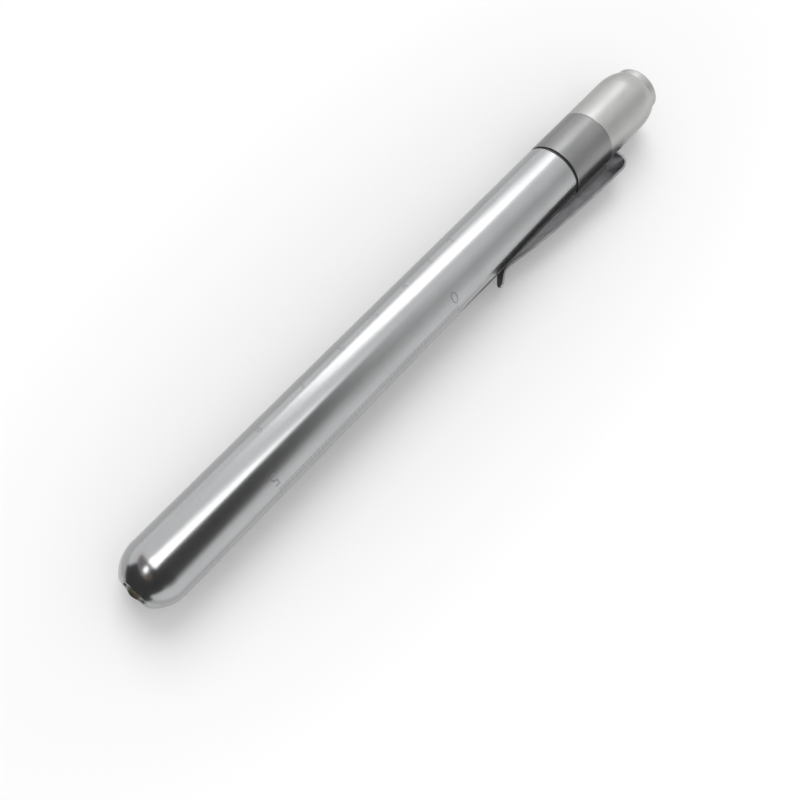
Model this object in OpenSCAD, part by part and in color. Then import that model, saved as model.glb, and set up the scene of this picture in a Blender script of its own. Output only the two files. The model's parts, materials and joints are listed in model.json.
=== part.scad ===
// Penlight: a slim metal torch for two AAA cells, with a lamp in the nose,
// a screwed tail end, an end button and a spring steel pocket clip.
// Millimetres. It lies on its side along X, nose towards -X, and leans on its clip.

/* [Barrel] */
// Wall of the barrel round the cells
barrel_wall = 1; // [0.9:0.05:1.3]
// Room round the cells in the barrel's bore
cell_clear = 0.25; // [0.15:0.05:0.5]
// Length of the rounded nose
nose_len = 5.9; // [5:0.1:7]
// Width of the flat ring at the end of the nose, round the lamp
nose_lip = 1.05; // [0.8:0.05:1.4]
// Thickness of the front wall round the lamp
nose_wall = 1.2; // [0.9:0.1:1.4]
// Length of the nose's inner bore, behind the front wall
nose_bore_len = 3.2; // [2.4:0.1:3.6]
// Step from the cells' bore out to the thread's plain stand-in wall
thread_step = 0.2; // [0.15:0.01:0.25]
// Length of the barrel's thread past the end of the spigot
thread_runout = 1.2; // [0.6:0.1:2.5]

/* [Lamp] */
// Diameter of the lamp's clear body
lens_d = 5; // [4.8:0.1:5.2]
// How far the lamp's dome stands out of the nose face
lens_proud = 0.65; // [0.4:0.05:1.2]
// Height of the lamp from the tip of its dome to its base
lamp_h = 8.6; // [7.8:0.1:9.2]
// How far the lamp's base flange stands out from its body
flange_lip = 0.4; // [0.3:0.05:0.6]
// Thickness of the lamp's base flange
flange_h = 1; // [0.8:0.1:1.4]
// Depth of the flat on the flange's cathode side
flange_flat = 0.3; // [0.2:0.05:0.4]
// Thickness of the lamp's wires
lead_d = 0.5; // [0.4:0.05:0.6]
// Distance between the lamp's wires
lead_spacing = 2.54; // [2.2:0.02:2.8]
// Wall of the bush that holds the lamp, in the nose
holder_wall = 1.7; // [1.5:0.05:1.9]
// Length of the bush that holds the lamp
holder_len = 14.45; // [14:0.05:16]
// Width of the ring that joins the lamp to the barrel
cathode_ring_w = 2; // [1.4:0.1:2.4]
// Thickness of that ring
cathode_ring_t = 0.5; // [0.3:0.05:0.6]
// Distance from the lamp's base to that ring
cathode_ring_gap = 2.2; // [1.6:0.1:2.8]
// Diameter of the centre contact
contact_d = 7; // [6.6:0.1:7.6]
// Thickness of the centre contact
contact_t = 1; // [0.8:0.1:1.4]
// How far the centre contact stands behind its bush
contact_proud = 0.4; // [0.3:0.05:0.6]

/* [Cells] */
// Diameter of a cell
cell_d = 10.5; // [9.8:0.1:11.5]
// Length of a cell with its nub
cell_len = 44.5; // [40:0.1:50]
// Diameter of a cell's nub
nub_d = 3.8; // [3.4:0.1:4]
// Height of a cell's nub
nub_h = 0.8; // [0.7:0.05:1.2]
// Thickness of a cell's jacket
jacket_t = 0.15; // [0.1:0.01:0.25]
// Bare rim of the can at each end of its jacket
jacket_rim = 0.4; // [0.2:0.1:0.8]

/* [Tail] */
// Width of the seal's groove between barrel and collar
seal_groove = 0.7; // [0.5:0.05:0.9]
// How far the seal lies below the barrel's surface
seal_recess = 0.22; // [0.1:0.02:0.3]
// Length of the grey collar
band_len = 11.8; // [10:0.1:13]
// Wall of the grey collar
band_t = 0.55; // [0.45:0.05:0.6]
// Length of the tail cap behind the collar
cap_len = 16.3; // [15.6:0.1:18]
// Length of the cap's rounded shoulder
shoulder_len = 4.2; // [3.6:0.1:5]
// How far the shoulder draws in at the cap's end
shoulder_drop = 0.85; // [0.6:0.05:0.9]
// Length of the cap's screwed spigot
spigot_len = 9.5; // [8:0.1:11]
// Wall of the cap's screwed spigot
spigot_wall = 1.15; // [1:0.05:1.3]
// Thickness of the web that guides the button's stem
web_t = 1.5; // [1.2:0.1:1.8]
// Depth of the well that holds the button
well_depth = 4.8; // [4.4:0.1:5.1]
// Thickness of the cap's rim round the button
well_rim = 0.45; // [0.4:0.05:0.6]

/* [Switch] */
// How far the button's edge stands out of the cap
button_proud = 2.3; // [2.1:0.05:2.6]
// Travel of the button
button_travel = 1.15; // [0.8:0.05:1.15]
// Rounding of the button's edge
button_round = 0.6; // [0.3:0.05:0.8]
// Height of the button's crown over its edge
crown_h = 0.55; // [0.3:0.05:0.8]
// Wall of the button's skirt and top
button_wall = 0.9; // [0.7:0.05:1.1]
// Diameter of the button's stem
stem_d = 4; // [3.6:0.1:4.4]
// Length of the stem and its pin in front of the web
stem_reach = 4.8; // [4.4:0.1:5.4]
// Diameter of the contact pin
pin_d = 2; // [1.6:0.1:2.4]
// Length of the contact pin
pin_len = 3; // [2.4:0.1:3.2]
// Length of pin that stands out of the stem
pin_show = 1.2; // [0.8:0.1:1.4]
// How far the circlip stands out from the stem
circlip_lip = 1.2; // [1:0.05:1.3]
// Thickness of the circlip
circlip_t = 0.6; // [0.5:0.05:0.8]
// Depth of the circlip's groove in the stem
circlip_groove = 0.4; // [0.3:0.05:0.5]
// Opening of the circlip
circlip_mouth = 2.2; // [1.6:0.1:2.6]
// Wall of the switch housing round the stem's room
housing_wall = 0.85; // [0.7:0.05:1]
// Diameter of the contact stud
stud_d = 3; // [2.6:0.1:3.4]
// Length of stud that shows in the switch room
stud_show = 1; // [0.6:0.1:1.6]
// Wall of the switch housing round the spring's contact cup
cup_wall = 0.65; // [0.5:0.05:0.75]
// Thickness of the cup's plate
cup_t = 0.7; // [0.5:0.05:0.8]
// Height of the cup's rim
cup_rim_h = 0.4; // [0.3:0.05:0.5]
// Wall of the cup's rim
cup_rim_t = 0.4; // [0.3:0.05:0.5]
// Length of the ring that locks the switch in the cap
lock_len = 2.2; // [1.8:0.1:2.6]
// Wall of that ring
lock_wall = 1.1; // [0.95:0.05:1.2]
// How far that ring lies inside the spigot
lock_recess = 0.3; // [0.2:0.1:0.6]

/* [Springs] */
// Wire of the spring behind the cells
cell_wire_d = 0.7; // [0.5:0.05:0.8]
// Length of the spring behind the cells, as they press it
cell_spring_len = 7.55; // [6.5:0.05:12]
// Turns of the spring behind the cells
cell_turns = 5.5; // [4:0.5:5.5]
// Wire of the button's spring
button_wire_d = 0.6; // [0.4:0.05:0.7]
// Room round the springs in their seats
coil_clear = 0.35; // [0.25:0.05:0.45]
// Turns of the button's spring
button_turns = 4; // [3:0.5:4]

/* [Clip] */
// Thickness of the clip's strip
strip_t = 0.5; // [0.4:0.05:0.55]
// Width of the clip at its arch
clip_w = 6.5; // [6:0.1:7.2]
// Width of the clip where it starts to narrow to its bend
waist_w = 4.8; // [4.2:0.1:5.4]
// Distance from there to the bend
waist_set = 8; // [6:0.5:12]
// Width of the clip at its bend
bend_w = 2.8; // [2.4:0.1:3.6]
// Width of the clip at its tip
tip_w = 1.8; // [1.4:0.1:2.2]
// Width of the foot that the collar holds
foot_w = 3.2; // [2.8:0.1:3.4]
// Distance from the collar's front edge to the end of the foot
foot_inset = 1.5; // [1:0.1:4]
// Distance from the cap's front edge to the centre of the arch
arch_set = 1.7; // [1.5:0.05:2.4]
// Radius of the arch at the middle of the strip
arch_r = 2; // [1.9:0.05:2.2]
// Distance from the arch's centre to the bend's centre along the barrel
clip_reach = 35.8; // [32:0.1:40]
// Radius of the bend at the middle of the strip
bend_r = 2.5; // [2:0.1:3]
// Radius of the tongue's outward bow at the middle of the strip
bow_r = 320; // [280:10:480]
// Slope of the tip behind the bend, in degrees
tip_slope = 42; // [30:1:45]
// Length of the straight tip
tip_len = 2.8; // [2:0.1:2.9]
// Gap between the bend and the barrel
clip_clear = 0.12; // [0.1:0.02:0.3]
// Clearance round the clip in the cap's notch
notch_clear = 0.16; // [0.15:0.01:0.2]
// Room behind the arch in the cap's notch
notch_room = 0.45; // [0.4:0.05:0.7]

/* [Fits] */
// Radial clearance of pieces that fit in each other
fit_gap = 0.05; // [0.04:0.005:0.06]
// Clearance between end faces
face_gap = 0.04; // [0.02:0.01:0.05]

/* [Hidden] */
$fn = 96;
overrun = 1;

// Radii of the barrel and the lamp, from the cell outwards and from the lamp outwards
cell_r = cell_d / 2;
bore_r = cell_r + cell_clear;
barrel_r = bore_r + barrel_wall;
thread_r = bore_r + thread_step;
lens_r = lens_d / 2;
lens_hole_r = lens_r + fit_gap;
flange_r = lens_r + flange_lip;
lead_r = lead_d / 2;
nose_bore_r = lens_r + holder_wall;
nose_face_r = lens_hole_r + nose_lip;
nose_drop = barrel_r - nose_face_r;
nose_arc_r = (nose_len * nose_len + nose_drop * nose_drop) / (2 * nose_drop);

// Radii of the tail, from the thread inwards
spigot_r = thread_r - fit_gap;
band_bore_r = barrel_r - band_t;
neck_r = band_bore_r - fit_gap;
cap_bore_r = spigot_r - spigot_wall;
housing_r = cap_bore_r - fit_gap;
switch_room_r = housing_r - housing_wall;
cup_r = housing_r - cup_wall;
lock_bore_r = cap_bore_r - lock_wall;
shoulder_arc_r = (shoulder_len * shoulder_len + shoulder_drop * shoulder_drop) / (2 * shoulder_drop);
well_r = barrel_r - shoulder_drop - well_rim;
button_r = well_r - fit_gap;
stem_r = stem_d / 2;
circlip_r = stem_r + circlip_lip;
cell_coil_r = lock_bore_r - coil_clear - cell_wire_d / 2;
button_coil_r = button_r - button_wall - coil_clear - button_wire_d / 2;
crown_half_w = button_r - button_round;
crown_arc_r = (crown_half_w * crown_half_w + crown_h * crown_h) / (2 * crown_h);

// Places along the barrel, from the nose face towards the tail
bore_start = nose_wall + nose_bore_len + bore_r - nose_bore_r;
lamp_base = lamp_h - lens_proud;
flange_front = lamp_base - flange_h;
holder_front = nose_wall + face_gap;
holder_rear = holder_front + holder_len;
ring_front = lamp_base + cathode_ring_gap;
contact_rear = holder_rear + contact_proud;
contact_front = contact_rear - contact_t;
front_cell_at = contact_rear;
rear_cell_at = front_cell_at + cell_len;
cells_rear = rear_cell_at + cell_len;
cup_front = cells_rear + cell_spring_len;
cup_rear = cup_front + cup_t;
cup_seat = cup_rear + face_gap;
housing_front = cup_front - cup_rim_h;
lock_front = housing_front - face_gap - lock_len;
spigot_front = lock_front - lock_recess;
collar_front = spigot_front + spigot_len;
barrel_len = collar_front - seal_groove;
thread_front = spigot_front - thread_runout;
cap_front = collar_front + band_len;
cap_rear = cap_front + cap_len;
well_floor = cap_rear - well_depth;
web_front = well_floor - web_t;
housing_rear = web_front - face_gap;
pin_tip = web_front - stem_reach;
stem_front = pin_tip + pin_show;
stud_rear = pin_tip - button_travel - face_gap;
room_floor = stud_rear - stud_show;
circlip_rear = web_front - face_gap;
circlip_front = circlip_rear - circlip_t;
button_edge = cap_rear + button_proud;
button_top = button_edge + crown_h;
skirt_front = well_floor + button_travel + face_gap;
button_roof = button_edge - button_wall;

// The clip, as distances along the barrel and from its axis
foot_mid = sqrt(neck_r * neck_r - foot_w * foot_w / 4) - strip_t / 2;
hinge_at = cap_front + arch_set;
arch_mid = foot_mid + arch_r;
clip_top = arch_mid + arch_r + strip_t / 2;
bend_at = hinge_at - clip_reach;
bend_mid = barrel_r + clip_clear + strip_t / 2 + bend_r;
tip_end = bend_at - bend_r * sin(tip_slope) - tip_len * cos(tip_slope);

// The tongue's bow: an arc that runs on smoothly from the arch and into the bend
bow_to_arch = bow_r - arch_r;
bow_to_bend = bow_r + bend_r;
arch_to_bend = norm([clip_reach, arch_mid - bend_mid]);
bow_from = atan2(arch_mid - bend_mid, clip_reach) + acos(
    (arch_to_bend * arch_to_bend + bow_to_arch * bow_to_arch - bow_to_bend * bow_to_bend)
    / (2 * arch_to_bend * bow_to_arch)
);
bow_at = [hinge_at - bow_to_arch * cos(bow_from), arch_mid - bow_to_arch * sin(bow_from)];
bow_to = atan2(bend_mid - bow_at[1], bend_at - bow_at[0]);

// The clip's root and the notch that it comes out of
root_low = foot_mid - strip_t;
root_full = arch_mid + arch_r / 2;
root_flare = (clip_w - foot_w) / (root_full - root_low);
notch_w = foot_w + root_flare * (barrel_r - root_low) + 2 * notch_clear;
notch_floor = foot_mid - strip_t / 2 - notch_clear;
notch_rear = hinge_at + arch_r + strip_t / 2 + notch_room;

// The lying pose: the clip's lower edge and the barrel both touch the floor
clip_lean = asin(barrel_r / norm([clip_top, clip_w / 2])) - atan2(clip_w / 2, clip_top);
clip_side = clip_top * cos(clip_lean) + clip_w / 2 * sin(clip_lean);
lie_at = [-(button_top - lens_proud) / 2, (clip_side - barrel_r) / 2, barrel_r];

// Sides and steps of round stretches made of points
wire_sides = 6;
wire_steps = 16;
arc_steps = 18;

// Turns the upright torch, nose down and clip towards +X, into its lying pose
module lay() {
    translate(lie_at) rotate([0, 90, 0]) rotate([0, 0, clip_lean - 90]) children();
}

// Half section of a cylinder between two places
module span(r, from, to) {
    translate([0, from]) square([r, to - from]);
}

// Half section of a ring between two places
module ring_span(r_in, r_out, from, to) {
    translate([r_in, from]) square([r_out - r_in, to - from]);
}

// Half section of an end that draws in on one arc, its full width at the given place
module drawn_end(arc_r, r, full_at, end_at) {
    intersection() {
        translate([r - arc_r, full_at]) circle(arc_r);
        span(r, min(full_at, end_at), max(full_at, end_at));
    }
}

// Points along an arc from one angle to another, less some at each end
function arc_points(centre, r, from, to, left_out = 0) = [
    for (i = [left_out:arc_steps - left_out])
        let (a = from + (to - from) * i / arc_steps) centre + r * [cos(a), sin(a)]
];

// Round wire wound along the axis between two places
module coil(coil_r, wire_d, from, to, turns) {
    wire_r = wire_d / 2;
    low = from + wire_r + face_gap;
    rise = to - from - wire_d - 2 * face_gap;
    rings = ceil(turns * wire_steps);
    lead = atan2(rise, 2 * PI * coil_r * turns);
    function wire_point(i, k) = let (
        a = 360 * turns * i / rings,
        b = 360 * k / wire_sides,
        out = coil_r + wire_r * cos(b),
        skew = wire_r * sin(b)
    ) [
        out * cos(a) + skew * sin(lead) * sin(a),
        out * sin(a) - skew * sin(lead) * cos(a),
        low + rise * i / rings + skew * cos(lead)
    ];
    function corner(i, k) = i * wire_sides + k % wire_sides;
    points = [for (i = [0:rings]) for (k = [0:wire_sides - 1]) wire_point(i, k)];
    walls = [for (i = [0:rings - 1]) for (k = [0:wire_sides - 1]) each [
        [corner(i, k), corner(i, k + 1), corner(i + 1, k)],
        [corner(i, k + 1), corner(i + 1, k + 1), corner(i + 1, k)]
    ]];
    first_end = [for (k = [1:wire_sides - 2]) [corner(0, 0), corner(0, k + 1), corner(0, k)]];
    last_end = [for (k = [1:wire_sides - 2]) [corner(rings, 0), corner(rings, k), corner(rings, k + 1)]];
    polyhedron(points, concat(walls, first_end, last_end));
}

// Tube with a rounded nose, a lamp hole and a threaded rear end
module barrel() {
    color("gainsboro") lay() rotate_extrude() difference() {
        union() {
            drawn_end(nose_arc_r, barrel_r, nose_len, 0);
            span(barrel_r, nose_len, barrel_len);
        }
        span(lens_hole_r, -overrun, nose_wall + overrun);
        span(nose_bore_r, nose_wall, nose_wall + nose_bore_len);
        polygon([
            [0, nose_wall + nose_bore_len],
            [nose_bore_r, nose_wall + nose_bore_len],
            [bore_r, bore_start],
            [0, bore_start]
        ]);
        span(bore_r, bore_start, barrel_len);
        span(thread_r, thread_front, barrel_len + overrun);
    }
}

// Clear lamp body with a domed end and a flanged base
module led_lens() {
    color("white", 0.6) lay() difference() {
        rotate_extrude() {
            intersection() {
                translate([0, lens_r - lens_proud]) circle(lens_r);
                span(lens_r, -lens_proud, lens_r - lens_proud);
            }
            span(lens_r, lens_r - lens_proud, flange_front);
            span(flange_r, flange_front, lamp_base);
        }
        translate([-flange_r, -flange_r - lens_r, flange_front - overrun])
            cube([2 * flange_r, lens_r + flange_flat, flange_h + 2 * overrun]);
    }
}

// One wire runs to the centre contact, the other turns out to the ring
module led_leads() {
    color("silver") lay() {
        turn_at = ring_front + cathode_ring_w / 2;
        ring_bore_r = bore_r - fit_gap - cathode_ring_t;
        translate([0, lead_spacing / 2, lamp_base])
            cylinder(h = contact_front - lamp_base - face_gap, r = lead_r);
        translate([0, -lead_spacing / 2, lamp_base]) cylinder(h = turn_at - lamp_base, r = lead_r);
        translate([0, -lead_spacing / 2, turn_at]) sphere(lead_r);
        translate([0, -lead_spacing / 2, turn_at]) rotate([90, 0, 0])
            cylinder(h = ring_bore_r - lead_spacing / 2 - face_gap, r = lead_r);
    }
}

// Insulating bush that seats the lamp in the nose
module led_holder() {
    groove_r = bore_r - cathode_ring_t - 2 * fit_gap;
    color("ivory") lay() difference() {
        rotate_extrude() difference() {
            polygon([
                [0, holder_front],
                [nose_bore_r - fit_gap, holder_front],
                [nose_bore_r - fit_gap, nose_wall + nose_bore_len],
                [bore_r - fit_gap, bore_start],
                [bore_r - fit_gap, holder_rear],
                [0, holder_rear]
            ]);
            span(lens_r + fit_gap, 0, flange_front);
            span(flange_r + fit_gap, flange_front - face_gap, contact_front);
            span(contact_d / 2 + fit_gap, contact_front - face_gap, holder_rear + overrun);
            ring_span(groove_r, barrel_r, ring_front - face_gap, ring_front + cathode_ring_w + face_gap);
        }
        translate([0, 0, ring_front + cathode_ring_w / 2]) rotate([90, 0, 0])
            cylinder(h = barrel_r, r = lead_r + fit_gap);
    }
}

// Disc that the front cell's nub presses on
module anode_contact() {
    color("goldenrod") lay() rotate_extrude() span(contact_d / 2, contact_front, contact_rear);
}

// Ring that joins the lamp's other wire to the barrel
module cathode_ring() {
    color("silver") lay() rotate_extrude()
        ring_span(bore_r - fit_gap - cathode_ring_t, bore_r - fit_gap, ring_front, ring_front + cathode_ring_w);
}

// Steel can of a cell with its nub towards the nose
module cell_can(from) {
    can_r = cell_r - jacket_t - fit_gap;
    rotate_extrude() {
        span(nub_d / 2, from, from + nub_h);
        span(can_r, from + nub_h, from + cell_len);
    }
}

// Sleeve round a cell's can
module cell_jacket(from) {
    rotate_extrude()
        ring_span(cell_r - jacket_t, cell_r, from + nub_h + jacket_rim, from + cell_len - jacket_rim);
}

module front_cell_can() { color("lightgray") lay() cell_can(front_cell_at); }

module front_cell_jacket() { color("seagreen") lay() cell_jacket(front_cell_at); }

module rear_cell_can() { color("lightgray") lay() cell_can(rear_cell_at); }

module rear_cell_jacket() { color("seagreen") lay() cell_jacket(rear_cell_at); }

// Spring between the rear cell and its contact cup
module battery_spring() {
    color("slategray") lay() coil(cell_coil_r, cell_wire_d, cells_rear, cup_front, cell_turns);
}

// Plate with a rim for the spring and a stud to the switch
module spring_cup() {
    color("goldenrod") lay() rotate_extrude() {
        ring_span(cup_r - cup_rim_t, cup_r, cup_front - cup_rim_h, cup_front);
        span(cup_r, cup_front, cup_rear);
        span(stud_d / 2, cup_rear, stud_rear);
    }
}

// Insulating bush that carries the stud and leaves room for the stem
module switch_housing() {
    color("dimgray") lay() rotate_extrude() difference() {
        span(housing_r, housing_front, housing_rear);
        span(cup_r + fit_gap, housing_front - overrun, cup_seat);
        span(stud_d / 2 + fit_gap, housing_front, room_floor + overrun);
        span(switch_room_r, room_floor, housing_rear + overrun);
    }
}

// Ring that keeps the switch in the cap
module lock_ring() {
    color("goldenrod") lay() rotate_extrude()
        ring_span(lock_bore_r, cap_bore_r - fit_gap, lock_front, lock_front + lock_len);
}

// Screwed spigot, neck for the collar, round shoulder, button well and clip notch
module tail_cap() {
    color("silver") lay() difference() {
        rotate_extrude() difference() {
            union() {
                span(spigot_r, spigot_front, collar_front);
                span(neck_r, collar_front, cap_front);
                span(barrel_r, cap_front, cap_rear - shoulder_len);
                drawn_end(shoulder_arc_r, barrel_r, cap_rear - shoulder_len, cap_rear);
            }
            span(cap_bore_r, spigot_front - overrun, web_front);
            span(stem_r + fit_gap, web_front - overrun, well_floor + overrun);
            span(well_r, well_floor, cap_rear + overrun);
        }
        translate([notch_floor, -notch_w / 2, cap_front])
            cube([barrel_r, notch_w, notch_rear - cap_front]);
        translate([foot_mid - strip_t / 2 - face_gap, -foot_w / 2 - fit_gap, collar_front + foot_inset - face_gap])
            cube([barrel_r, foot_w + 2 * fit_gap, band_len - foot_inset + face_gap + overrun]);
    }
}

// Dark seal between barrel and collar
module seal_ring() {
    color("black") lay() rotate_extrude()
        ring_span(spigot_r + fit_gap, barrel_r - seal_recess, barrel_len + face_gap, collar_front - face_gap);
}

// Grey collar that holds the clip's foot down
module clip_band() {
    color("gray") lay() rotate_extrude() ring_span(band_bore_r, barrel_r, collar_front, cap_front);
}

// Inner end of the clip, under the collar
module clip_foot() {
    from = collar_front + foot_inset;
    to = hinge_at - strip_t / 2 - face_gap;
    color("darkslategray") lay() translate([foot_mid - strip_t / 2, -foot_w / 2, from])
        cube([strip_t, foot_w, to - from]);
}

// Side view of the clip: the arch, the tongue, the bend and the tip
module clip_side_view() {
    arch = [hinge_at, arch_mid];
    bend = [bend_at, bend_mid];
    bend_in = bow_to - 180;
    bend_out = -tip_slope - 90;
    tip_run = tip_len * [-cos(tip_slope), sin(tip_slope)];
    outer_r = arch_r + strip_t / 2;
    inner_r = arch_r - strip_t / 2;
    tight_r = bend_r - strip_t / 2;
    wide_r = bend_r + strip_t / 2;
    outer_tip = bend + tight_r * [cos(bend_out), sin(bend_out)] + tip_run;
    inner_tip = bend + wide_r * [cos(bend_out), sin(bend_out)] + tip_run;
    polygon(concat(
        arc_points(arch, outer_r, -90, bow_from),
        arc_points(bow_at, bow_r + strip_t / 2, bow_from, bow_to, 1),
        arc_points(bend, tight_r, bend_in, bend_out),
        [outer_tip, inner_tip],
        arc_points(bend, wide_r, bend_out, bend_in),
        arc_points(bow_at, bow_r - strip_t / 2, bow_to, bow_from, 1),
        arc_points(arch, inner_r, bow_from, -90)
    ));
    translate([hinge_at, foot_mid]) circle(strip_t / 2);
}

// Face view of the clip: it narrows from the arch to a round tip
module clip_face_view() {
    reach = arch_r + strip_t;
    polygon([
        [hinge_at + reach, -clip_w / 2],
        [hinge_at + reach, clip_w / 2],
        [hinge_at, clip_w / 2],
        [bend_at + waist_set, waist_w / 2],
        [bend_at, bend_w / 2],
        [tip_end + tip_w / 2, tip_w / 2],
        [tip_end + tip_w / 2, -tip_w / 2],
        [bend_at, -bend_w / 2],
        [bend_at + waist_set, -waist_w / 2],
        [hinge_at, -clip_w / 2]
    ]);
    translate([tip_end + tip_w / 2, 0]) circle(tip_w / 2);
}

// End view of the clip: the arch narrows to the width of the foot
module clip_end_view() {
    polygon([
        [root_low, -foot_w / 2],
        [root_full, -clip_w / 2],
        [clip_top + overrun, -clip_w / 2],
        [clip_top + overrun, clip_w / 2],
        [root_full, clip_w / 2],
        [root_low, foot_w / 2]
    ]);
}

// Spring steel strip that arches out of the cap and grips a pocket against the barrel
module pocket_clip() {
    tall = clip_top + overrun;
    ends = clip_reach + 2 * barrel_r;
    color("darkslategray") lay() intersection() {
        rotate([-90, -90, 0]) translate([0, 0, -clip_w]) linear_extrude(2 * clip_w) clip_side_view();
        rotate([0, -90, 0]) translate([0, 0, -tall]) linear_extrude(tall) clip_face_view();
        translate([0, 0, hinge_at - ends]) linear_extrude(2 * ends) clip_end_view();
    }
}

// Hollow end button with a crowned top and a grooved stem
module push_button() {
    color("silver") lay() rotate_extrude() difference() {
        union() {
            difference() {
                union() {
                    span(button_r, skirt_front, button_edge - button_round);
                    span(crown_half_w, skirt_front, button_edge);
                    translate([crown_half_w, button_edge - button_round]) circle(button_round);
                    intersection() {
                        translate([0, button_top - crown_arc_r]) circle(crown_arc_r);
                        span(crown_half_w, button_edge, button_top);
                    }
                }
                span(button_r - button_wall, skirt_front - overrun, button_roof);
            }
            span(stem_r, stem_front, button_edge);
        }
        span(pin_d / 2, stem_front - overrun, pin_tip + pin_len);
        ring_span(stem_r - circlip_groove, button_r, circlip_front, circlip_rear);
    }
}

// Spring that returns the button
module button_spring() {
    color("slategray") lay() coil(button_coil_r, button_wire_d, well_floor, button_roof, button_turns);
}

// Pin in the stem that meets the stud
module contact_pin() {
    color("goldenrod") lay() rotate_extrude() span(pin_d / 2, pin_tip, pin_tip + pin_len);
}

// Open ring in the stem's groove
module circlip() {
    seat_r = stem_r - circlip_groove;
    color("slategray") lay() difference() {
        rotate_extrude() ring_span(seat_r, circlip_r, circlip_front, circlip_rear);
        translate([0, -circlip_mouth / 2, circlip_front - overrun])
            cube([circlip_r + overrun, circlip_mouth, circlip_t + 2 * overrun]);
    }
}

barrel();
led_lens();
led_leads();
led_holder();
anode_contact();
cathode_ring();
front_cell_can();
front_cell_jacket();
rear_cell_can();
rear_cell_jacket();
battery_spring();
spring_cup();
switch_housing();
lock_ring();
tail_cap();
seal_ring();
clip_band();
clip_foot();
pocket_clip();
push_button();
button_spring();
contact_pin();
circlip();
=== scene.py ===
"""Penlight: dresses the solid parts of a slim metal torch and lights them in a plain studio."""
import json
import math

import bmesh
import bpy
from mathutils import Matrix, Vector


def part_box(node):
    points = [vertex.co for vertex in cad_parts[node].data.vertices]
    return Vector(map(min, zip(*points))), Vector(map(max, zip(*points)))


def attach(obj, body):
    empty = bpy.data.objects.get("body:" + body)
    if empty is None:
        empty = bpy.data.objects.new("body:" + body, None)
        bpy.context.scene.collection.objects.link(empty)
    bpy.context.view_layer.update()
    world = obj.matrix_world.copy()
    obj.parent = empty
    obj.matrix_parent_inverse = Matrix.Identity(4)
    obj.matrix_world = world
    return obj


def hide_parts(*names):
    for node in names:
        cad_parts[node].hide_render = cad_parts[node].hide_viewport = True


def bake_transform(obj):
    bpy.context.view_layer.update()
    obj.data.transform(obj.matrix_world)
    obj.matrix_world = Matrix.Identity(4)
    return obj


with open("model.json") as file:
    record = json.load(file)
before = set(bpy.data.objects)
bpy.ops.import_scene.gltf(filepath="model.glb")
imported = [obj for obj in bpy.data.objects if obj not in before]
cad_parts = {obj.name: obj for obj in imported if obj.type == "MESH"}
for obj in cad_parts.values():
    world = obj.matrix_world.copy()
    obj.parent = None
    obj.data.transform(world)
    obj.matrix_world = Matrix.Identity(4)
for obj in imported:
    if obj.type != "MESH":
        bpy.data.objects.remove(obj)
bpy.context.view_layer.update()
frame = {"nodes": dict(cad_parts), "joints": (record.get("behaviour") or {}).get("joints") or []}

bl_info = {
    "name": "Penlight",
    "version": (1, 0, 0),
    "blender": (4, 5, 0),
    "location": "3D View > Sidebar > Penlight",
    "description": "Builds a slim metal torch with a pocket clip round its solid parts",
    "category": "Object",
}

# Places that the frame gives, in metres
JOINTS = {joint["name"]: joint for joint in frame["joints"]}
ALONG = Vector((1, 0, 0))
AXIS = Vector((0, *JOINTS["tail_turn"]["pos_m"][1:]))
BARREL_R = AXIS.z
CLIP_ROOT = Vector(JOINTS["clip_flex"]["pos_m"])
CLIP_SIDE = CLIP_ROOT - AXIS - ALONG * CLIP_ROOT.x
FOOT_OUT = CLIP_SIDE.length
OUT = CLIP_SIDE.normalized()
ACROSS = ALONG.cross(OUT)

# Distances in metres, angles in radians and counts that serve every piece
WELD = 1e-7
HAIR = 1e-6
MILLIMETRE = 0.001
FULL_TURN = 2 * math.pi
SHARP = math.radians(35)
ROUND_STEPS = 5
LONG_EDGE = 4


def ends(node):
    """The front and rear ends of a solid part along the barrel."""
    low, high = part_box(node)
    return low.x, high.x


NOSE, BARREL_REAR = ends("barrel")
LENS_TIP, LAMP_BASE = ends("led_lens")
SPIGOT_FRONT, CAP_REAR = ends("tail_cap")
COLLAR_FRONT, CAP_FRONT = ends("clip_band")
STEM_FRONT, BUTTON_TOP = ends("push_button")


def length(label, default, text):
    """A size in metres that a user can change."""
    return bpy.props.FloatProperty(
        name=label, description=text, default=default, min=0, unit="LENGTH", precision=5
    )


def number(label, default, text):
    """A plain amount that a user can change."""
    return bpy.props.FloatProperty(name=label, description=text, default=default, min=0)


def colour(label, default, text):
    """A linear colour that a user can change."""
    return bpy.props.FloatVectorProperty(
        name=label, description=text, default=default, size=3, min=0, max=1, subtype="COLOR"
    )


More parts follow.
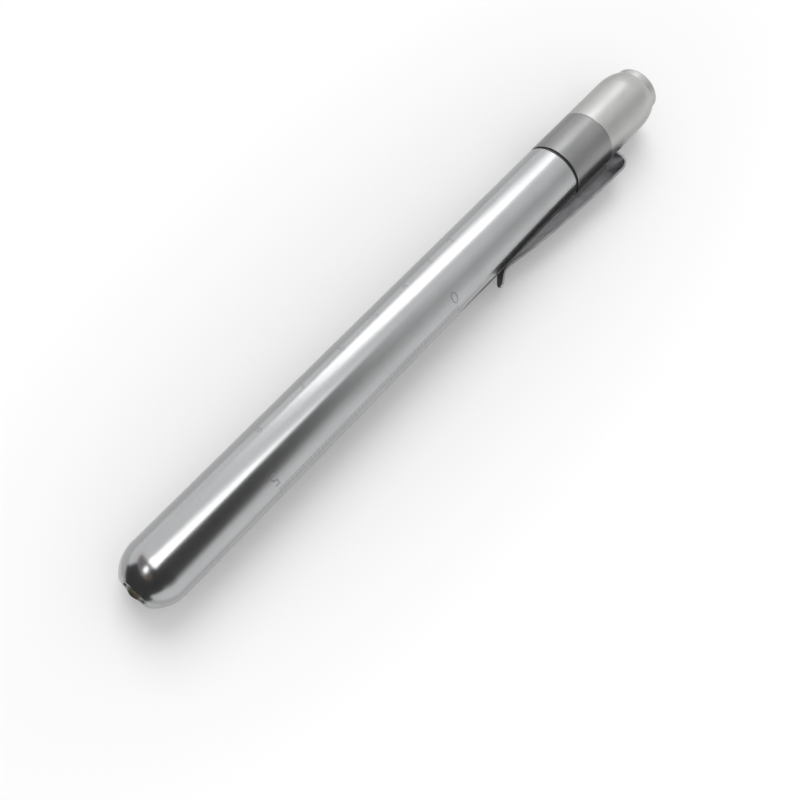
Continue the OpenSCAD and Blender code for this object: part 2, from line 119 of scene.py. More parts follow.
class PenlightSizes(bpy.types.PropertyGroup):
    """Sizes of the pieces that the frame doesn't give."""

    sides: bpy.props.IntProperty(
        name="Sides", description="Sides of a turned piece", default=224, min=24
    )
    edge: length("Edge", 0.00012, "Rounding of machined edges")
    fit: length("Fit", 0.00005, "Radial room between pieces that fit in each other")
    nose_len: length("Nose length", 0.0059, "Length of the rounded nose")
    nose_lip: length("Nose lip", 0.00105, "Width of the flat ring round the lamp")
    nose_round: length("Nose rounding", 0.00018, "Rounding of the nose's front edge")
    nose_wall: length("Nose wall", 0.0012, "Thickness of the front wall round the lamp")
    nose_bore_len: length("Nose bore length", 0.0032, "Length of the bore behind the front wall")
    holder_wall: length("Holder wall", 0.0017, "Wall of the lamp's bush in the nose")
    barrel_wall: length("Barrel wall", 0.001, "Wall of the barrel round the cells")
    thread_step: length("Thread step", 0.0002, "Step from the cells' bore out to the thread")
    thread_runout: length("Thread runout", 0.0012, "Length of the barrel's thread past the spigot")
    thread_depth: length("Thread depth", 0.00034, "Depth of the screw thread on the spigot")
    thread_pitch: length("Thread pitch", 0.00125, "Rise of the thread in one turn")
    lens_d: length("Lens", 0.005, "Diameter of the lamp's clear body")
    flange_h: length("Flange", 0.001, "Thickness of the lamp's base flange")
    cup_d: length("Die cup", 0.0019, "Diameter of the bright cup inside the lamp")
    cup_h: length("Die cup height", 0.0009, "Depth of the bright cup inside the lamp")
    cup_set: length("Die cup place", 0.0033, "Distance from the tip of the dome to the cup")
    post_w: length("Post width", 0.0007, "Width of the two posts inside the lamp")
    post_spacing: length("Post spacing", 0.00254, "Distance between the two posts")
    band_t: length("Collar wall", 0.00055, "Wall of the grey collar")
    shoulder_len: length("Shoulder length", 0.0042, "Length of the cap's rounded shoulder")
    shoulder_drop: length("Shoulder drop", 0.00085, "How far the shoulder draws in")
    spigot_wall: length("Spigot wall", 0.00115, "Wall of the cap's screwed spigot")
    well_rim: length("Well rim", 0.00045, "Thickness of the cap's rim round the button")
    well_depth: length("Well depth", 0.0048, "Depth of the well that holds the button")
    rim_round: length("Rim rounding", 0.00028, "Rounding of the cap's rim round the button")
    web_t: length("Web", 0.0015, "Thickness of the web that guides the stem")
    crown_h: length("Crown", 0.00055, "Height of the button's crown over its edge")
    button_round: length("Button rounding", 0.0006, "Rounding of the button's edge")
    button_wall: length("Button wall", 0.0009, "Wall of the button's skirt and top")
    skirt_gap: length("Skirt gap", 0.00119, "Room in front of the button's skirt for its travel")
    stem_d: length("Stem", 0.004, "Diameter of the button's stem")
    groove_depth: length("Stem groove", 0.0004, "Depth of the groove for the stem's circlip")
    strip_t: length("Strip", 0.0005, "Thickness of the clip's strip")
    strip_edge: length("Strip edge", 0.0001, "Rounding of the clip's long edges")
    clip_w: length("Clip width", 0.0065, "Width of the clip at its arch")
    waist_w: length("Waist width", 0.0048, "Width where the clip starts to narrow to its bend")
    waist_set: length("Waist place", 0.008, "Distance from there to the bend")
    bend_w: length("Bend width", 0.0028, "Width of the clip at its bend")
    tip_w: length("Tip width", 0.0018, "Width of the clip at its tip")
    foot_w: length("Foot width", 0.0032, "Width of the foot that the collar holds")
    flare_h: length("Flare", 0.003, "Height over the foot where the clip has its full width")
    arch_r: length("Arch radius", 0.002, "Radius of the arch at the middle of the strip")
    clip_reach: length("Clip reach", 0.0358, "Distance from the arch to the bend")
    bend_r: length("Bend radius", 0.0025, "Radius of the bend at the middle of the strip")
    bow_r: length("Tongue bow", 0.32, "Radius of the tongue's outward bow at the middle of the strip")
    strip_hollow: length("Strip hollow", 0.024, "Radius of the strip's hollow across its width")
    clip_clear: length("Clip gap", 0.00012, "Gap between the bend and the barrel")
    tip_len: length("Tip length", 0.0028, "Length of the straight tip")
    tip_slope: bpy.props.FloatProperty(
        name="Tip slope", description="Slope of the tip behind the bend",
        default=math.radians(42), subtype="ANGLE",
    )
    notch_clear: length("Notch side", 0.00016, "Clearance round the clip in the cap's notch")
    notch_room: length("Notch room", 0.00045, "Room behind the arch in the cap's notch")
    button_wire: length("Button wire", 0.0006, "Wire of the button's spring")
    button_turns: number("Button turns", 4, "Turns of the button's spring")
    ink_t: length("Ink", 0.000005, "Thickness of the printed marks")
    line_w: length("Line", 0.00016, "Width of the printed lines")
    scale_unit: length("Scale unit", 0.01, "Distance between two of the scale's marks for centimetres")
    scale_start: length("Scale start", 0.0797, "Distance from the nose to the scale's zero")
    tick_len: length("Tick", 0.0018, "Length of the scale's marks for centimetres")
    minor_len: length("Minor tick", 0.0008, "Length of the scale's marks for millimetres")
    digit_h: length("Digit", 0.0026, "Height of the scale's digits")
    digit_row: length("Digit row", 0.003484, "Distance from the base line to the foot of the digits")
    gauge_start: length("Gauge start", 0.0304, "Distance from the nose to the largest ring")
    gauge_gap: length("Gauge gap", 0.004, "Gap between two rings of the gauge")
    gauge_row: length("Gauge row", 0.0077, "Distance from the rings' centres to their numbers")
    gauge_digit_h: length("Gauge digit", 0.0016, "Height of the gauge's digits")


class PenlightColours(bpy.types.PropertyGroup):
    """Linear colours of the finishes."""

    barrel: colour("Barrel", (0.455, 0.46, 0.465), "Polished aluminium of the barrel")
    cap: colour("Cap", (0.5, 0.5, 0.492), "Satin aluminium of the cap and button")
    collar: colour("Collar", (0.287, 0.288, 0.29), "Satin grey of the collar")
    clip: colour("Clip", (0.4, 0.388, 0.408), "Dark bright steel of the clip")
    rubbed: colour("Rubbed steel", (0.5, 0.5, 0.5), "Bare steel at the clip's rubbed edges")
    ink: colour("Ink", (0.28, 0.28, 0.29), "Grey print on the barrel")
    seal: colour("Seal", (0.012, 0.012, 0.013), "Black rubber of the seal")
    lens: colour("Lens", (0.97, 0.96, 0.92), "Clear resin of the lamp")
    phosphor: colour("Phosphor", (0.80, 0.55, 0.08), "Yellow dot in the lamp")
    brass: colour("Brass", (0.70, 0.47, 0.16), "Brass of the contacts")
    plated: colour("Plated steel", (0.62, 0.62, 0.61), "Plated steel of cells and wires")
    film: colour("Film", (0.02, 0.16, 0.08), "Jacket round the cells")
    ivory: colour("Ivory", (0.78, 0.74, 0.62), "Moulded bush of the lamp")
    black_plastic: colour("Black plastic", (0.02, 0.02, 0.021), "Moulded switch housing")


class PenlightStage(bpy.types.PropertyGroup):
    """Floor, lamp, reflection cards and camera."""

    floor: colour("Floor", (0.86, 0.86, 0.86), "Colour of the floor")
    # The floor's glow fades out near the object, which paints shade round it
    floor_lift: number("Floor lift", 0.1, "Glow of the floor that camera and metal see round the object")
    ambient: number("Ambient", 0.75, "Strength of the white room round the object")
    sun: number("Lamp", 1.3, "Strength of the soft lamp that gives the shadow")
    sun_spread: bpy.props.FloatProperty(
        name="Lamp spread", description="How wide the soft lamp looks from the object",
        default=math.radians(40), subtype="ANGLE",
    )
    bright: number("Bright panels", 3.0, "Brightness of the panels that light a stripe down the barrel")
    fall: number("Fall", 1.4, "How much weaker the panel over the tail is at its far end")
    grey: number("Grey card", 0.64, "Brightness of the card overhead, towards the tail")
    grey_rise: number("Grey rise", 0.38, "How much brighter the card is at its edge")
    # The dark card's level also sets the painted shade on the floor between the barrel and the clip
    dark: number("Dark card", 0.07, "Brightness of the card overhead, towards the nose")
    haze: colour("Haze", (0.28, 0.24, 0.26), "Glow of the card that dims the dark of the nose")
    spot: colour("Spot", (0.22, 0.165, 0.11), "Glow of the small warm card that the nose mirrors")
    # The floor strips paint the shade on the floor beside the barrel into its reflection
    beside: number("Floor strip", 0.74, "Brightness of the floor that the barrel's edges mirror")
    # The black flags' level also sets the painted reflection of the shaded floor beside the clip
    flag: number("Black flags", 0.03, "Brightness of the dark cards on the floor")
    room: length("Room", 8.0, "Width of the floor")
    focal: number("Focal length", 53.983, "Focal length of the camera in millimetres")
    camera_at: bpy.props.FloatVectorProperty(
        name="Camera place", description="Where the camera stands",
        default=(-0.101236, AXIS.y, 0.214246), size=3, subtype="TRANSLATION", unit="LENGTH",
    )
    camera_turn: bpy.props.FloatVectorProperty(
        name="Camera turn", description="How the camera is turned",
        default=(0.256, -0.302, -0.835), size=3, subtype="EULER",
    )


class Shade:
    """An output socket of a finish's nodes. Arithmetic on it adds Math nodes."""

    def __init__(self, finish, socket):
        self.finish = finish
        self.socket = socket

    def _math(self, operation, *values):
        """Adds one Math node."""
        return self.finish.node("ShaderNodeMath", dict(enumerate(values)), operation=operation)

    def __add__(self, other):
        return self._math("ADD", self, other)

    __radd__ = __add__

    def __sub__(self, other):
        return self._math("SUBTRACT", self, other)

    def __rsub__(self, other):
        return self._math("SUBTRACT", other, self)

    def __mul__(self, other):
        return self._math("MULTIPLY", self, other)

    __rmul__ = __mul__

    def between(self, low, high):
        """The value from low to high, spread over 0 to 1 and kept there."""
        return self.finish.node(
            "ShaderNodeMapRange", {"Value": self, "From Min": low, "From Max": high}, clamp=True
        )


class Nodes:
    """A node tree, with one method that adds any node."""

    def __init__(self, tree):
        self.tree = tree

    def node(self, kind, inputs=None, output=0, **settings):
        """Adds a node, sets it up, fills its sockets and returns one output."""
        made = self.tree.nodes.new(kind)
        for name, value in settings.items():
            setattr(made, name, value)
        for name, value in (inputs or {}).items():
            self.fill(made.inputs[name], value)
        return Shade(self, made.outputs[output])

    def fill(self, socket, value):
        """Links a shade to a socket, or sets a plain value on it."""
        if isinstance(value, Shade):
            self.tree.links.new(value.socket, socket)
        else:
            socket.default_value = value

    def seen(self):
        """A mask of the rays that see the white room: from the camera, off metal and through glass."""
        kinds = ["Is Camera Ray", "Is Glossy Ray", "Is Transmission Ray"]
        camera, glossy, through = [self.node("ShaderNodeLightPath", output=kind) for kind in kinds]
        return (camera + glossy + through).between(0, 1)


def darker(tint, share):
    """A colour with each channel lowered by a share, or raised where the share is negative."""
    return tuple(channel * (1 - share) for channel in tint)


class Finish(Nodes):
    """A node material: one Principled shader and the nodes that vary it."""

    def __init__(self, name, **constants):
        self.material = bpy.data.materials.new(name)
        self.material.use_nodes = True
        super().__init__(self.material.node_tree)
        self.shader = self.tree.nodes["Principled BSDF"]
        for socket, value in constants.items():
            self.shader.inputs[socket.replace("_", " ")].default_value = value

    def varies(self, socket, value):
        """Feeds one of the shader's own sockets."""
        self.fill(self.shader.inputs[socket], value)

    def place(self, stretch=(1, 1, 1)):
        """Object coordinates from the barrel's axis, stretched."""
        here = self.node("ShaderNodeTexCoord", output="Object")
        shift = [-a * s for a, s in zip(AXIS, stretch)]
        return self.node(
            "ShaderNodeMapping", {"Vector": here, "Location": shift, "Scale": stretch}
        )

    def noise(self, stretch, detail=2.0, rough=0.5):
        """Soft noise from 0 to 1, with that many cells in a metre along each axis."""
        return self.node(
            "ShaderNodeTexNoise",
            {"Vector": self.place(stretch), "Scale": 1.0, "Detail": detail, "Roughness": rough},
        )

    def blend(self, mask, first, second):
        """Mixes two colours."""
        return self.node(
            "ShaderNodeMix",
            {"Factor": mask, 6: self.solid(first), 7: self.solid(second)},
            output=2,
            data_type="RGBA",
        )

    @staticmethod
    def solid(value):
        """A colour as a socket takes it: a shade, or red, green, blue and alpha."""
        return value if isinstance(value, Shade) else (*value, 1)

    def coloured(self, tint, mask, darken):
        """Colours the surface with a tint that a mask darkens by a share."""
        self.varies("Base Color", self.blend(mask, tint, darker(tint, darken)))

    def bump(self, height, distance):
        """Raises the surface by a height from 0 to 1 times a distance in metres."""
        self.varies("Normal", self.node("ShaderNodeBump", {"Height": height, "Distance": distance}))


def polished_aluminium(tint):
    """Bright drawn tube: faint streaks along it, handling haze and fine scratches."""
    finish = Finish("polished_aluminium", Metallic=1.0)
    streaks = finish.noise((30, 5200, 5200), detail=3.0, rough=0.6)
    haze = finish.noise((140, 260, 260), detail=4.0)
    waves = finish.noise((45, 300, 300), detail=1.0)
    scratch = finish.noise((260, 7000, 7000)).between(0.66, 0.76)
    finish.coloured(tint, haze.between(0.3, 0.75), darken=0.08)
    finish.varies("Roughness", 0.165 + 0.05 * haze + 0.03 * streaks + 0.06 * scratch)
    finish.bump(waves, distance=0.000009)
    return finish.material


def satin_aluminium(tint):
    """Fine turned finish of the cap and the button, dulled by handling."""
    finish = Finish("satin_aluminium", Metallic=1.0)
    lines = finish.noise((14000, 60, 60), detail=3.0, rough=0.65)
    haze = finish.noise((170, 300, 300), detail=4.0)
    finish.coloured(tint, haze.between(0.35, 0.8), darken=0.1)
    finish.varies("Roughness", 0.26 + 0.07 * haze + 0.07 * lines)
    finish.bump(lines, distance=0.000003)
    return finish.material


def satin_grey(tint):
    """Grey plated finish of the collar with turning lines."""
    finish = Finish("satin_grey", Metallic=1.0)
    lines = finish.noise((11000, 80, 80), detail=3.0, rough=0.6)
    haze = finish.noise((150, 380, 380), detail=4.0)
    finish.coloured(tint, haze.between(0.3, 0.8), darken=0.14)
    finish.varies("Roughness", 0.23 + 0.06 * haze + 0.06 * lines)
    finish.bump(lines, distance=0.000003)
    return finish.material


def dark_spring_steel(tint, rubbed):
    """Dark bright strip steel, rolled along its length and rubbed bare at its edges."""
    finish = Finish("dark_spring_steel", Metallic=1.0)
    rolled = finish.noise((120, 7000, 7000), detail=3.0, rough=0.6)
    stain = finish.noise((420, 520, 520), detail=4.0)
    worn = finish.node("ShaderNodeNewGeometry", output="Pointiness").between(0.52, 0.6)
    stained = finish.blend(stain.between(0.45, 0.8), tint, darker(tint, 0.35))
    finish.varies("Base Color", finish.blend(0.7 * worn, stained, rubbed))
    finish.varies("Roughness", 0.24 + 0.1 * stain + 0.08 * rolled)
    finish.bump(rolled, distance=0.000006)
    return finish.material


def black_rubber(tint):
    """Dull rubber of the seal with a fine grain."""
    finish = Finish("black_rubber", Specular_IOR_Level=0.5)
    grain = finish.noise((9000, 9000, 9000))
    finish.coloured(tint, grain, darken=-0.8)
    finish.varies("Roughness", 0.35 + 0.2 * grain)
    finish.bump(grain, distance=0.00001)
    return finish.material


def clear_resin(tint):
    """Clear cast resin of the lamp with a trace of cloud."""
    finish = Finish("clear_resin", Transmission_Weight=1.0, IOR=1.53)
    cloud = finish.noise((700, 700, 700))
    finish.coloured(tint, cloud, darken=0.05)
    finish.varies("Roughness", 0.015 + 0.03 * cloud)
    return finish.material


def printed_ink(tint):
    """Thin grey print, a little worn."""
    finish = Finish("printed_ink", Metallic=0.85)
    wear = finish.noise((2600, 2600, 2600), detail=3.0)
    finish.coloured(tint, wear, darken=-0.35)
    finish.varies("Roughness", 0.3 + 0.15 * wear)
    return finish.material


def phosphor_dot(tint):
    """Yellow powder set in resin over the lamp's die."""
    finish = Finish("phosphor_dot", Specular_IOR_Level=0.3)
    grain = finish.noise((8000, 8000, 8000))
    finish.coloured(tint, grain, darken=0.35)
    finish.varies("Roughness", 0.5 + 0.2 * grain)
    return finish.material


def stamped_metal(name, tint, rough):
    """Plain stamped or drawn metal of the pieces inside."""
    finish = Finish(name, Metallic=1.0)
    tarnish = finish.noise((900, 900, 900), detail=4.0)
    finish.coloured(tint, tarnish.between(0.35, 0.8), darken=0.3)
    finish.varies("Roughness", rough + 0.15 * tarnish)
    finish.bump(tarnish, distance=0.000006)
    return finish.material


def moulded_plastic(name, tint, rough):
    """Moulded plastic with a fine spark-eroded grain."""
    finish = Finish(name, Specular_IOR_Level=0.45)
    grain = finish.noise((5200, 5200, 5200))
    finish.coloured(tint, grain, darken=0.12)
    finish.varies("Roughness", rough + 0.12 * grain)
    finish.bump(grain, distance=0.000012)
    return finish.material


def arc(centre_x, centre_r, radius, start, end, steps):
    """Corners along an arc in the plane of a turned outline, from one angle to another."""
    turns = [start + (end - start) * i / steps for i in range(steps + 1)]
    return [(centre_x + radius * math.cos(a), centre_r + radius * math.sin(a), 0) for a in turns]


def turned(outline, sizes, closed=True):
    """Spins an outline of (x, radius, rounding) corners round the barrel's axis."""
    shape = bmesh.new()
    corners = [shape.verts.new((x, AXIS.y, AXIS.z + radius)) for x, radius, _ in outline]
    for a, b in zip(corners, corners[1:] + corners[:1] * closed):
        shape.edges.new((a, b))
    for rounding in sorted({corner[2] for corner in outline if corner[2]}):
        bmesh.ops.bevel(
            shape,
            geom=[v for v, corner in zip(corners, outline) if corner[2] == rounding],
            offset=rounding, offset_type="OFFSET", segments=ROUND_STEPS, profile=0.5,
            affect="VERTICES", material=-1,
        )
    support_long_edges(shape, sizes.edge)
    bmesh.ops.spin(
        shape, geom=shape.verts[:] + shape.edges[:], cent=AXIS, axis=ALONG, dvec=(0, 0, 0),
        angle=FULL_TURN, steps=sizes.sides, use_merge=True, use_duplicate=False,
    )
    bmesh.ops.remove_doubles(shape, verts=shape.verts, dist=WELD)
    return shape


def support_long_edges(shape, reach):
    """Adds a corner near both ends of each long edge, so that flat stretches shade flat."""
    for edge in [e for e in shape.edges if e.calc_length() > LONG_EDGE * reach]:
        first, last = edge.verts
        share = reach / edge.calc_length()
        kept, _ = bmesh.utils.edge_split(edge, last, share)
        bmesh.utils.edge_split(edge if first in edge.verts else kept, first, share / (1 - share))


def add_piece(name, shape, material, body, nodes=()):
    """Makes an object of a shape, which may ride on a body and stand for solid parts."""
    bmesh.ops.recalc_face_normals(shape, faces=shape.faces)
    obj = mesh_object(name, shape, material)
    obj.data.shade_smooth()
    obj.data.set_sharp_from_angle(angle=SHARP)
    if nodes:
        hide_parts(*nodes)
    if body:
        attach(obj, body)
    return obj


def mesh_object(name, shape, material):
    """Turns a finished shape into an object in the scene."""
    mesh = bpy.data.meshes.new(name)
    shape.to_mesh(mesh)
    shape.free()
    mesh.materials.append(material)
    obj = bpy.data.objects.new(name, mesh)
    bpy.context.scene.collection.objects.link(obj)
    return obj


def settings(context):
    """The sizes and the colours of the scene."""
    return context.scene.penlight_sizes, context.scene.penlight_colours


class PENLIGHT_OT_barrel(bpy.types.Operator):
    """Turn the barrel with its rounded nose, lamp hole and bore"""

    bl_idname = "penlight.barrel"
    bl_label = "Barrel"

    def execute(self, context):
        sizes, colours = settings(context)
        hole_r = sizes.lens_d / 2 + sizes.fit
        face_r = hole_r + sizes.nose_lip
        skin_r = BARREL_R - sizes.ink_t
        bore_r = BARREL_R - sizes.barrel_wall
        nose_bore_r = sizes.lens_d / 2 + sizes.holder_wall
        thread_r = bore_r + sizes.thread_step
        thread_front = SPIGOT_FRONT - sizes.thread_runout
        wall_rear = NOSE + sizes.nose_wall
        bore_front = wall_rear + sizes.nose_bore_len
        outline = [
            (NOSE, hole_r, sizes.edge),
            (NOSE, face_r, sizes.nose_round),
            *self.nose(sizes, skin_r, skin_r - face_r),
            (BARREL_REAR, skin_r, sizes.edge),
            (BARREL_REAR, thread_r, sizes.edge),
            (thread_front, thread_r, 0),
            (thread_front, bore_r, 0),
            (bore_front + bore_r - nose_bore_r, bore_r, 0),
            (bore_front, nose_bore_r, 0),
            (wall_rear, nose_bore_r, 0),
            (wall_rear, hole_r, 0),
        ]
        add_piece(
            "barrel_tube", turned(outline, sizes), polished_aluminium(colours.barrel),
            "barrel", ["barrel"],
        )
        return {"FINISHED"}

    @staticmethod
    def nose(sizes, skin_r, drop):
        """The nose's arc, from just behind its rounded front edge to the straight tube."""
        radius = (sizes.nose_len**2 + drop**2) / (2 * drop)
        front = math.pi - math.acos((sizes.nose_len - 2 * sizes.nose_round) / radius)
        return arc(NOSE + sizes.nose_len, skin_r - radius, radius, front, math.pi / 2, steps=32)


class PENLIGHT_OT_lamp(bpy.types.Operator):
    """Turn the lamp's clear dome and set the bright cup and posts inside it"""

    bl_idname = "penlight.lamp"
    bl_label = "Lamp"

    # Shares of the cup's radius
    floor_share = 0.55
    wall_share = 0.15
    dot_share = 0.9 * floor_share

    # Shares of the cup's depth
    dot_top = 0.55
    dot_edge = 0.45
    post_set = 1.3

    def execute(self, context):
        sizes, colours = settings(context)
        lens_r = sizes.lens_d / 2
        low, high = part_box("led_lens")
        flange_r = (high.z - low.z) / 2
        flange_front = LAMP_BASE - sizes.flange_h
        outline = [
            *arc(LENS_TIP + lens_r, 0, lens_r, math.pi, math.pi / 2, steps=20),
            (flange_front, lens_r, 0),
            (flange_front, flange_r, sizes.edge),
            (LAMP_BASE, flange_r, sizes.edge),
            (LAMP_BASE, 0, 0),
        ]
        add_piece(
            "lamp_dome", turned(outline, sizes, closed=False), clear_resin(colours.lens),
            "barrel", ["led_lens"],
        )
        self.cup(sizes, colours)
        self.posts(sizes, colours)
        return {"FINISHED"}

    def cup(self, sizes, colours):
        """The bright cup that holds the die, and the yellow dot in it."""
        mouth = LENS_TIP + sizes.cup_set
        floor = mouth + sizes.cup_h
        mouth_r = sizes.cup_d / 2
        floor_r = mouth_r * self.floor_share
        wall = mouth_r * self.wall_share
        dot_r = mouth_r * self.dot_share
        cup = [
            (floor, 0, 0),
            (floor, floor_r, 0),
            (mouth, mouth_r - wall, 0),
            (mouth, mouth_r, 0),
            (floor + wall, mouth_r, 0),
            (floor + wall, 0, 0),
        ]
        plated = stamped_metal("bright_cup", colours.plated, rough=0.12)
        add_piece("lamp_cup", turned(cup, sizes, closed=False), plated, "barrel")
        dot = [
            (floor - sizes.cup_h * self.dot_top, 0, 0),
            (floor - sizes.cup_h * self.dot_edge, dot_r, 0),
            (floor - HAIR, dot_r, 0),
            (floor - HAIR, 0, 0),
        ]
        add_piece(
            "lamp_phosphor", turned(dot, sizes, closed=False), phosphor_dot(colours.phosphor),
            "barrel",
        )

    def posts(self, sizes, colours):
        """The two posts that run from the cup to the lamp's base."""
        front = LENS_TIP + sizes.cup_set + sizes.cup_h * self.post_set
        rear = LAMP_BASE - HAIR
        shape = bmesh.new()
        for side in (-1, 1):
            block = bmesh.ops.create_cube(shape, size=1.0)["verts"]
            middle = ALONG * (front + rear) / 2
            place = Matrix.Translation(AXIS + middle + ACROSS * side * sizes.post_spacing / 2)
            scale = Matrix.Diagonal((rear - front, sizes.post_w, sizes.post_w, 1))
            bmesh.ops.transform(shape, matrix=place @ scale, verts=block)
        bmesh.ops.bevel(
            shape, geom=shape.edges[:], offset=sizes.edge, offset_type="OFFSET", segments=2,
            profile=0.5, affect="EDGES", material=-1,
        )
        tinned = stamped_metal("tinned_post", colours.plated, rough=0.2)
        add_piece("lamp_posts", shape, tinned, "barrel")


class PENLIGHT_OT_seal(bpy.types.Operator):
    """Turn the dark seal between barrel and collar"""

    bl_idname = "penlight.seal"
    bl_label = "Seal"

    def execute(self, context):
        sizes, colours = settings(context)
        low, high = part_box("seal_ring")
        outer_r = (high.z - low.z) / 2
        inner_r = BARREL_R - sizes.barrel_wall + sizes.thread_step
        ring = [
            (low.x, inner_r, 0),
            (low.x, outer_r, sizes.edge),
            (high.x, outer_r, sizes.edge),
            (high.x, inner_r, 0),
        ]
        rubber = black_rubber(colours.seal)
        add_piece("seal", turned(ring, sizes), rubber, "seal", ["seal_ring"])
        return {"FINISHED"}


class PENLIGHT_OT_collar(bpy.types.Operator):
    """Turn the grey collar that holds the clip's foot"""

    bl_idname = "penlight.collar"
    bl_label = "Collar"

    def execute(self, context):
        sizes, colours = settings(context)
        inner_r = BARREL_R - sizes.band_t
        ring = [
            (COLLAR_FRONT, inner_r, 0),
            (COLLAR_FRONT, BARREL_R, sizes.edge),
            (CAP_FRONT, BARREL_R, sizes.edge),
            (CAP_FRONT, inner_r, 0),
        ]
        satin = satin_grey(colours.collar)
        add_piece("collar", turned(ring, sizes), satin, "tail", ["clip_band"])
        return {"FINISHED"}


class PENLIGHT_OT_tail_cap(bpy.types.Operator):
    """Turn the tail cap, cut the clip's notch and wind the spigot's thread"""

    bl_idname = "penlight.tail_cap"
    bl_label = "Tail cap"

    # The thread's ridge: its start and the places along it in pitches, its heights in depths
    ridge_start = 0.4
    ridge = [(0.06, -0.1), (0.36, 1), (0.54, 1), (0.84, -0.1)]
    steps_a_turn = 60

    def execute(self, context):
        sizes, colours = settings(context)
        spigot_r = BARREL_R - sizes.barrel_wall + sizes.thread_step - sizes.fit
        bore_r = spigot_r - sizes.spigot_wall
        root_r = spigot_r - sizes.thread_depth
        neck_r = BARREL_R - sizes.band_t - sizes.fit
        end_r = BARREL_R - sizes.shoulder_drop
        well_r = end_r - sizes.well_rim
        stem_hole_r = sizes.stem_d / 2 + sizes.fit
        well_floor = CAP_REAR - sizes.well_depth
        web_front = well_floor - sizes.web_t
        outline = [
            (SPIGOT_FRONT, bore_r, 0),
            (SPIGOT_FRONT, root_r, sizes.edge),
            (COLLAR_FRONT, root_r, 0),
            (COLLAR_FRONT, neck_r, 0),
            (CAP_FRONT, neck_r, 0),
            (CAP_FRONT, BARREL_R, sizes.edge),
            *self.shoulder(sizes),
            (CAP_REAR, end_r, sizes.rim_round),
            (CAP_REAR, well_r, sizes.edge),
            (well_floor, well_r, 0),
            (well_floor, stem_hole_r, 0),
            (web_front, stem_hole_r, 0),
            (web_front, bore_r, 0),
        ]
        shape = turned(outline, sizes)
        self.cut_notch(shape, sizes)
        satin = satin_aluminium(colours.cap)
        add_piece("cap", shape, satin, "tail", ["tail_cap"])
        add_piece("cap_thread", self.thread(sizes, root_r, spigot_r), satin, "tail")
        return {"FINISHED"}

    @staticmethod
    def shoulder(sizes):
        """The arc that draws the cap in, from its full width to just before its end."""
        drop = sizes.shoulder_drop
        radius = (sizes.shoulder_len**2 + drop**2) / (2 * drop)
        last = math.acos((sizes.shoulder_len - 2 * sizes.rim_round) / radius)
        front = CAP_REAR - sizes.shoulder_len
        return arc(front, BARREL_R - radius, radius, math.pi / 2, last, steps=16)

    @staticmethod
    def cut_notch(shape, sizes):
        """Cuts the flat-floored notch that the clip comes out of."""
        floor = FOOT_OUT - sizes.strip_t / 2 - sizes.notch_clear
        rear = CLIP_ROOT.x + sizes.arch_r + sizes.strip_t / 2 + sizes.notch_room
        half_w = flared_width(sizes, BARREL_R) / 2 + sizes.notch_clear

        def near(face):
            middle = face.calc_center_median() - AXIS
            return middle.x > CAP_FRONT - HAIR and middle.dot(OUT) > floor

        def inside(face):
            middle = face.calc_center_median() - AXIS
            return near(face) and middle.x < rear and abs(middle.dot(ACROSS)) < half_w

        planes = [(AXIS + ACROSS * half_w, ACROSS), (AXIS - ACROSS * half_w, ACROSS)]
        for point, normal in [*planes, (AXIS + ALONG * rear, ALONG)]:
            faces = [face for face in shape.faces if near(face)]
            around = {part for face in faces for part in (*face.verts, *face.edges)}
            bmesh.ops.bisect_plane(
                shape, geom=[*around, *faces], dist=WELD, plane_co=point, plane_no=normal
            )
        gone = [face for face in shape.faces if inside(face)]
        bmesh.ops.delete(shape, geom=gone, context="FACES")
        rim = [edge for edge in shape.edges if edge.is_boundary]
        walls = bmesh.ops.extrude_edge_only(shape, edges=rim)["geom"]
        for vert in [part for part in walls if isinstance(part, bmesh.types.BMVert)]:
            vert.co -= OUT * ((vert.co - AXIS).dot(OUT) - floor)
        bmesh.ops.contextual_create(shape, geom=[edge for edge in shape.edges if edge.is_boundary])

    def thread(self, sizes, root_r, crest_r):
        """Winds one ridge along the spigot."""
        pitch = sizes.thread_pitch
        turns = int((COLLAR_FRONT - SPIGOT_FRONT - 2 * pitch) / pitch)
        shape = bmesh.new()
        corners = [
            shape.verts.new((
                SPIGOT_FRONT + pitch * (self.ridge_start + along),
                AXIS.y,
                AXIS.z + root_r + (crest_r - root_r) * up,
            ))
            for along, up in self.ridge
        ]
        for a, b in zip(corners, corners[1:] + corners[:1]):
            shape.edges.new((a, b))
        bmesh.ops.spin(
            shape, geom=shape.verts[:] + shape.edges[:], cent=AXIS, axis=-ALONG,
            dvec=ALONG * pitch / self.steps_a_turn, angle=FULL_TURN * turns,
            steps=self.steps_a_turn * turns, use_merge=False, use_duplicate=False,
        )
        bmesh.ops.holes_fill(shape, edges=shape.edges, sides=len(self.ridge))
        return shape


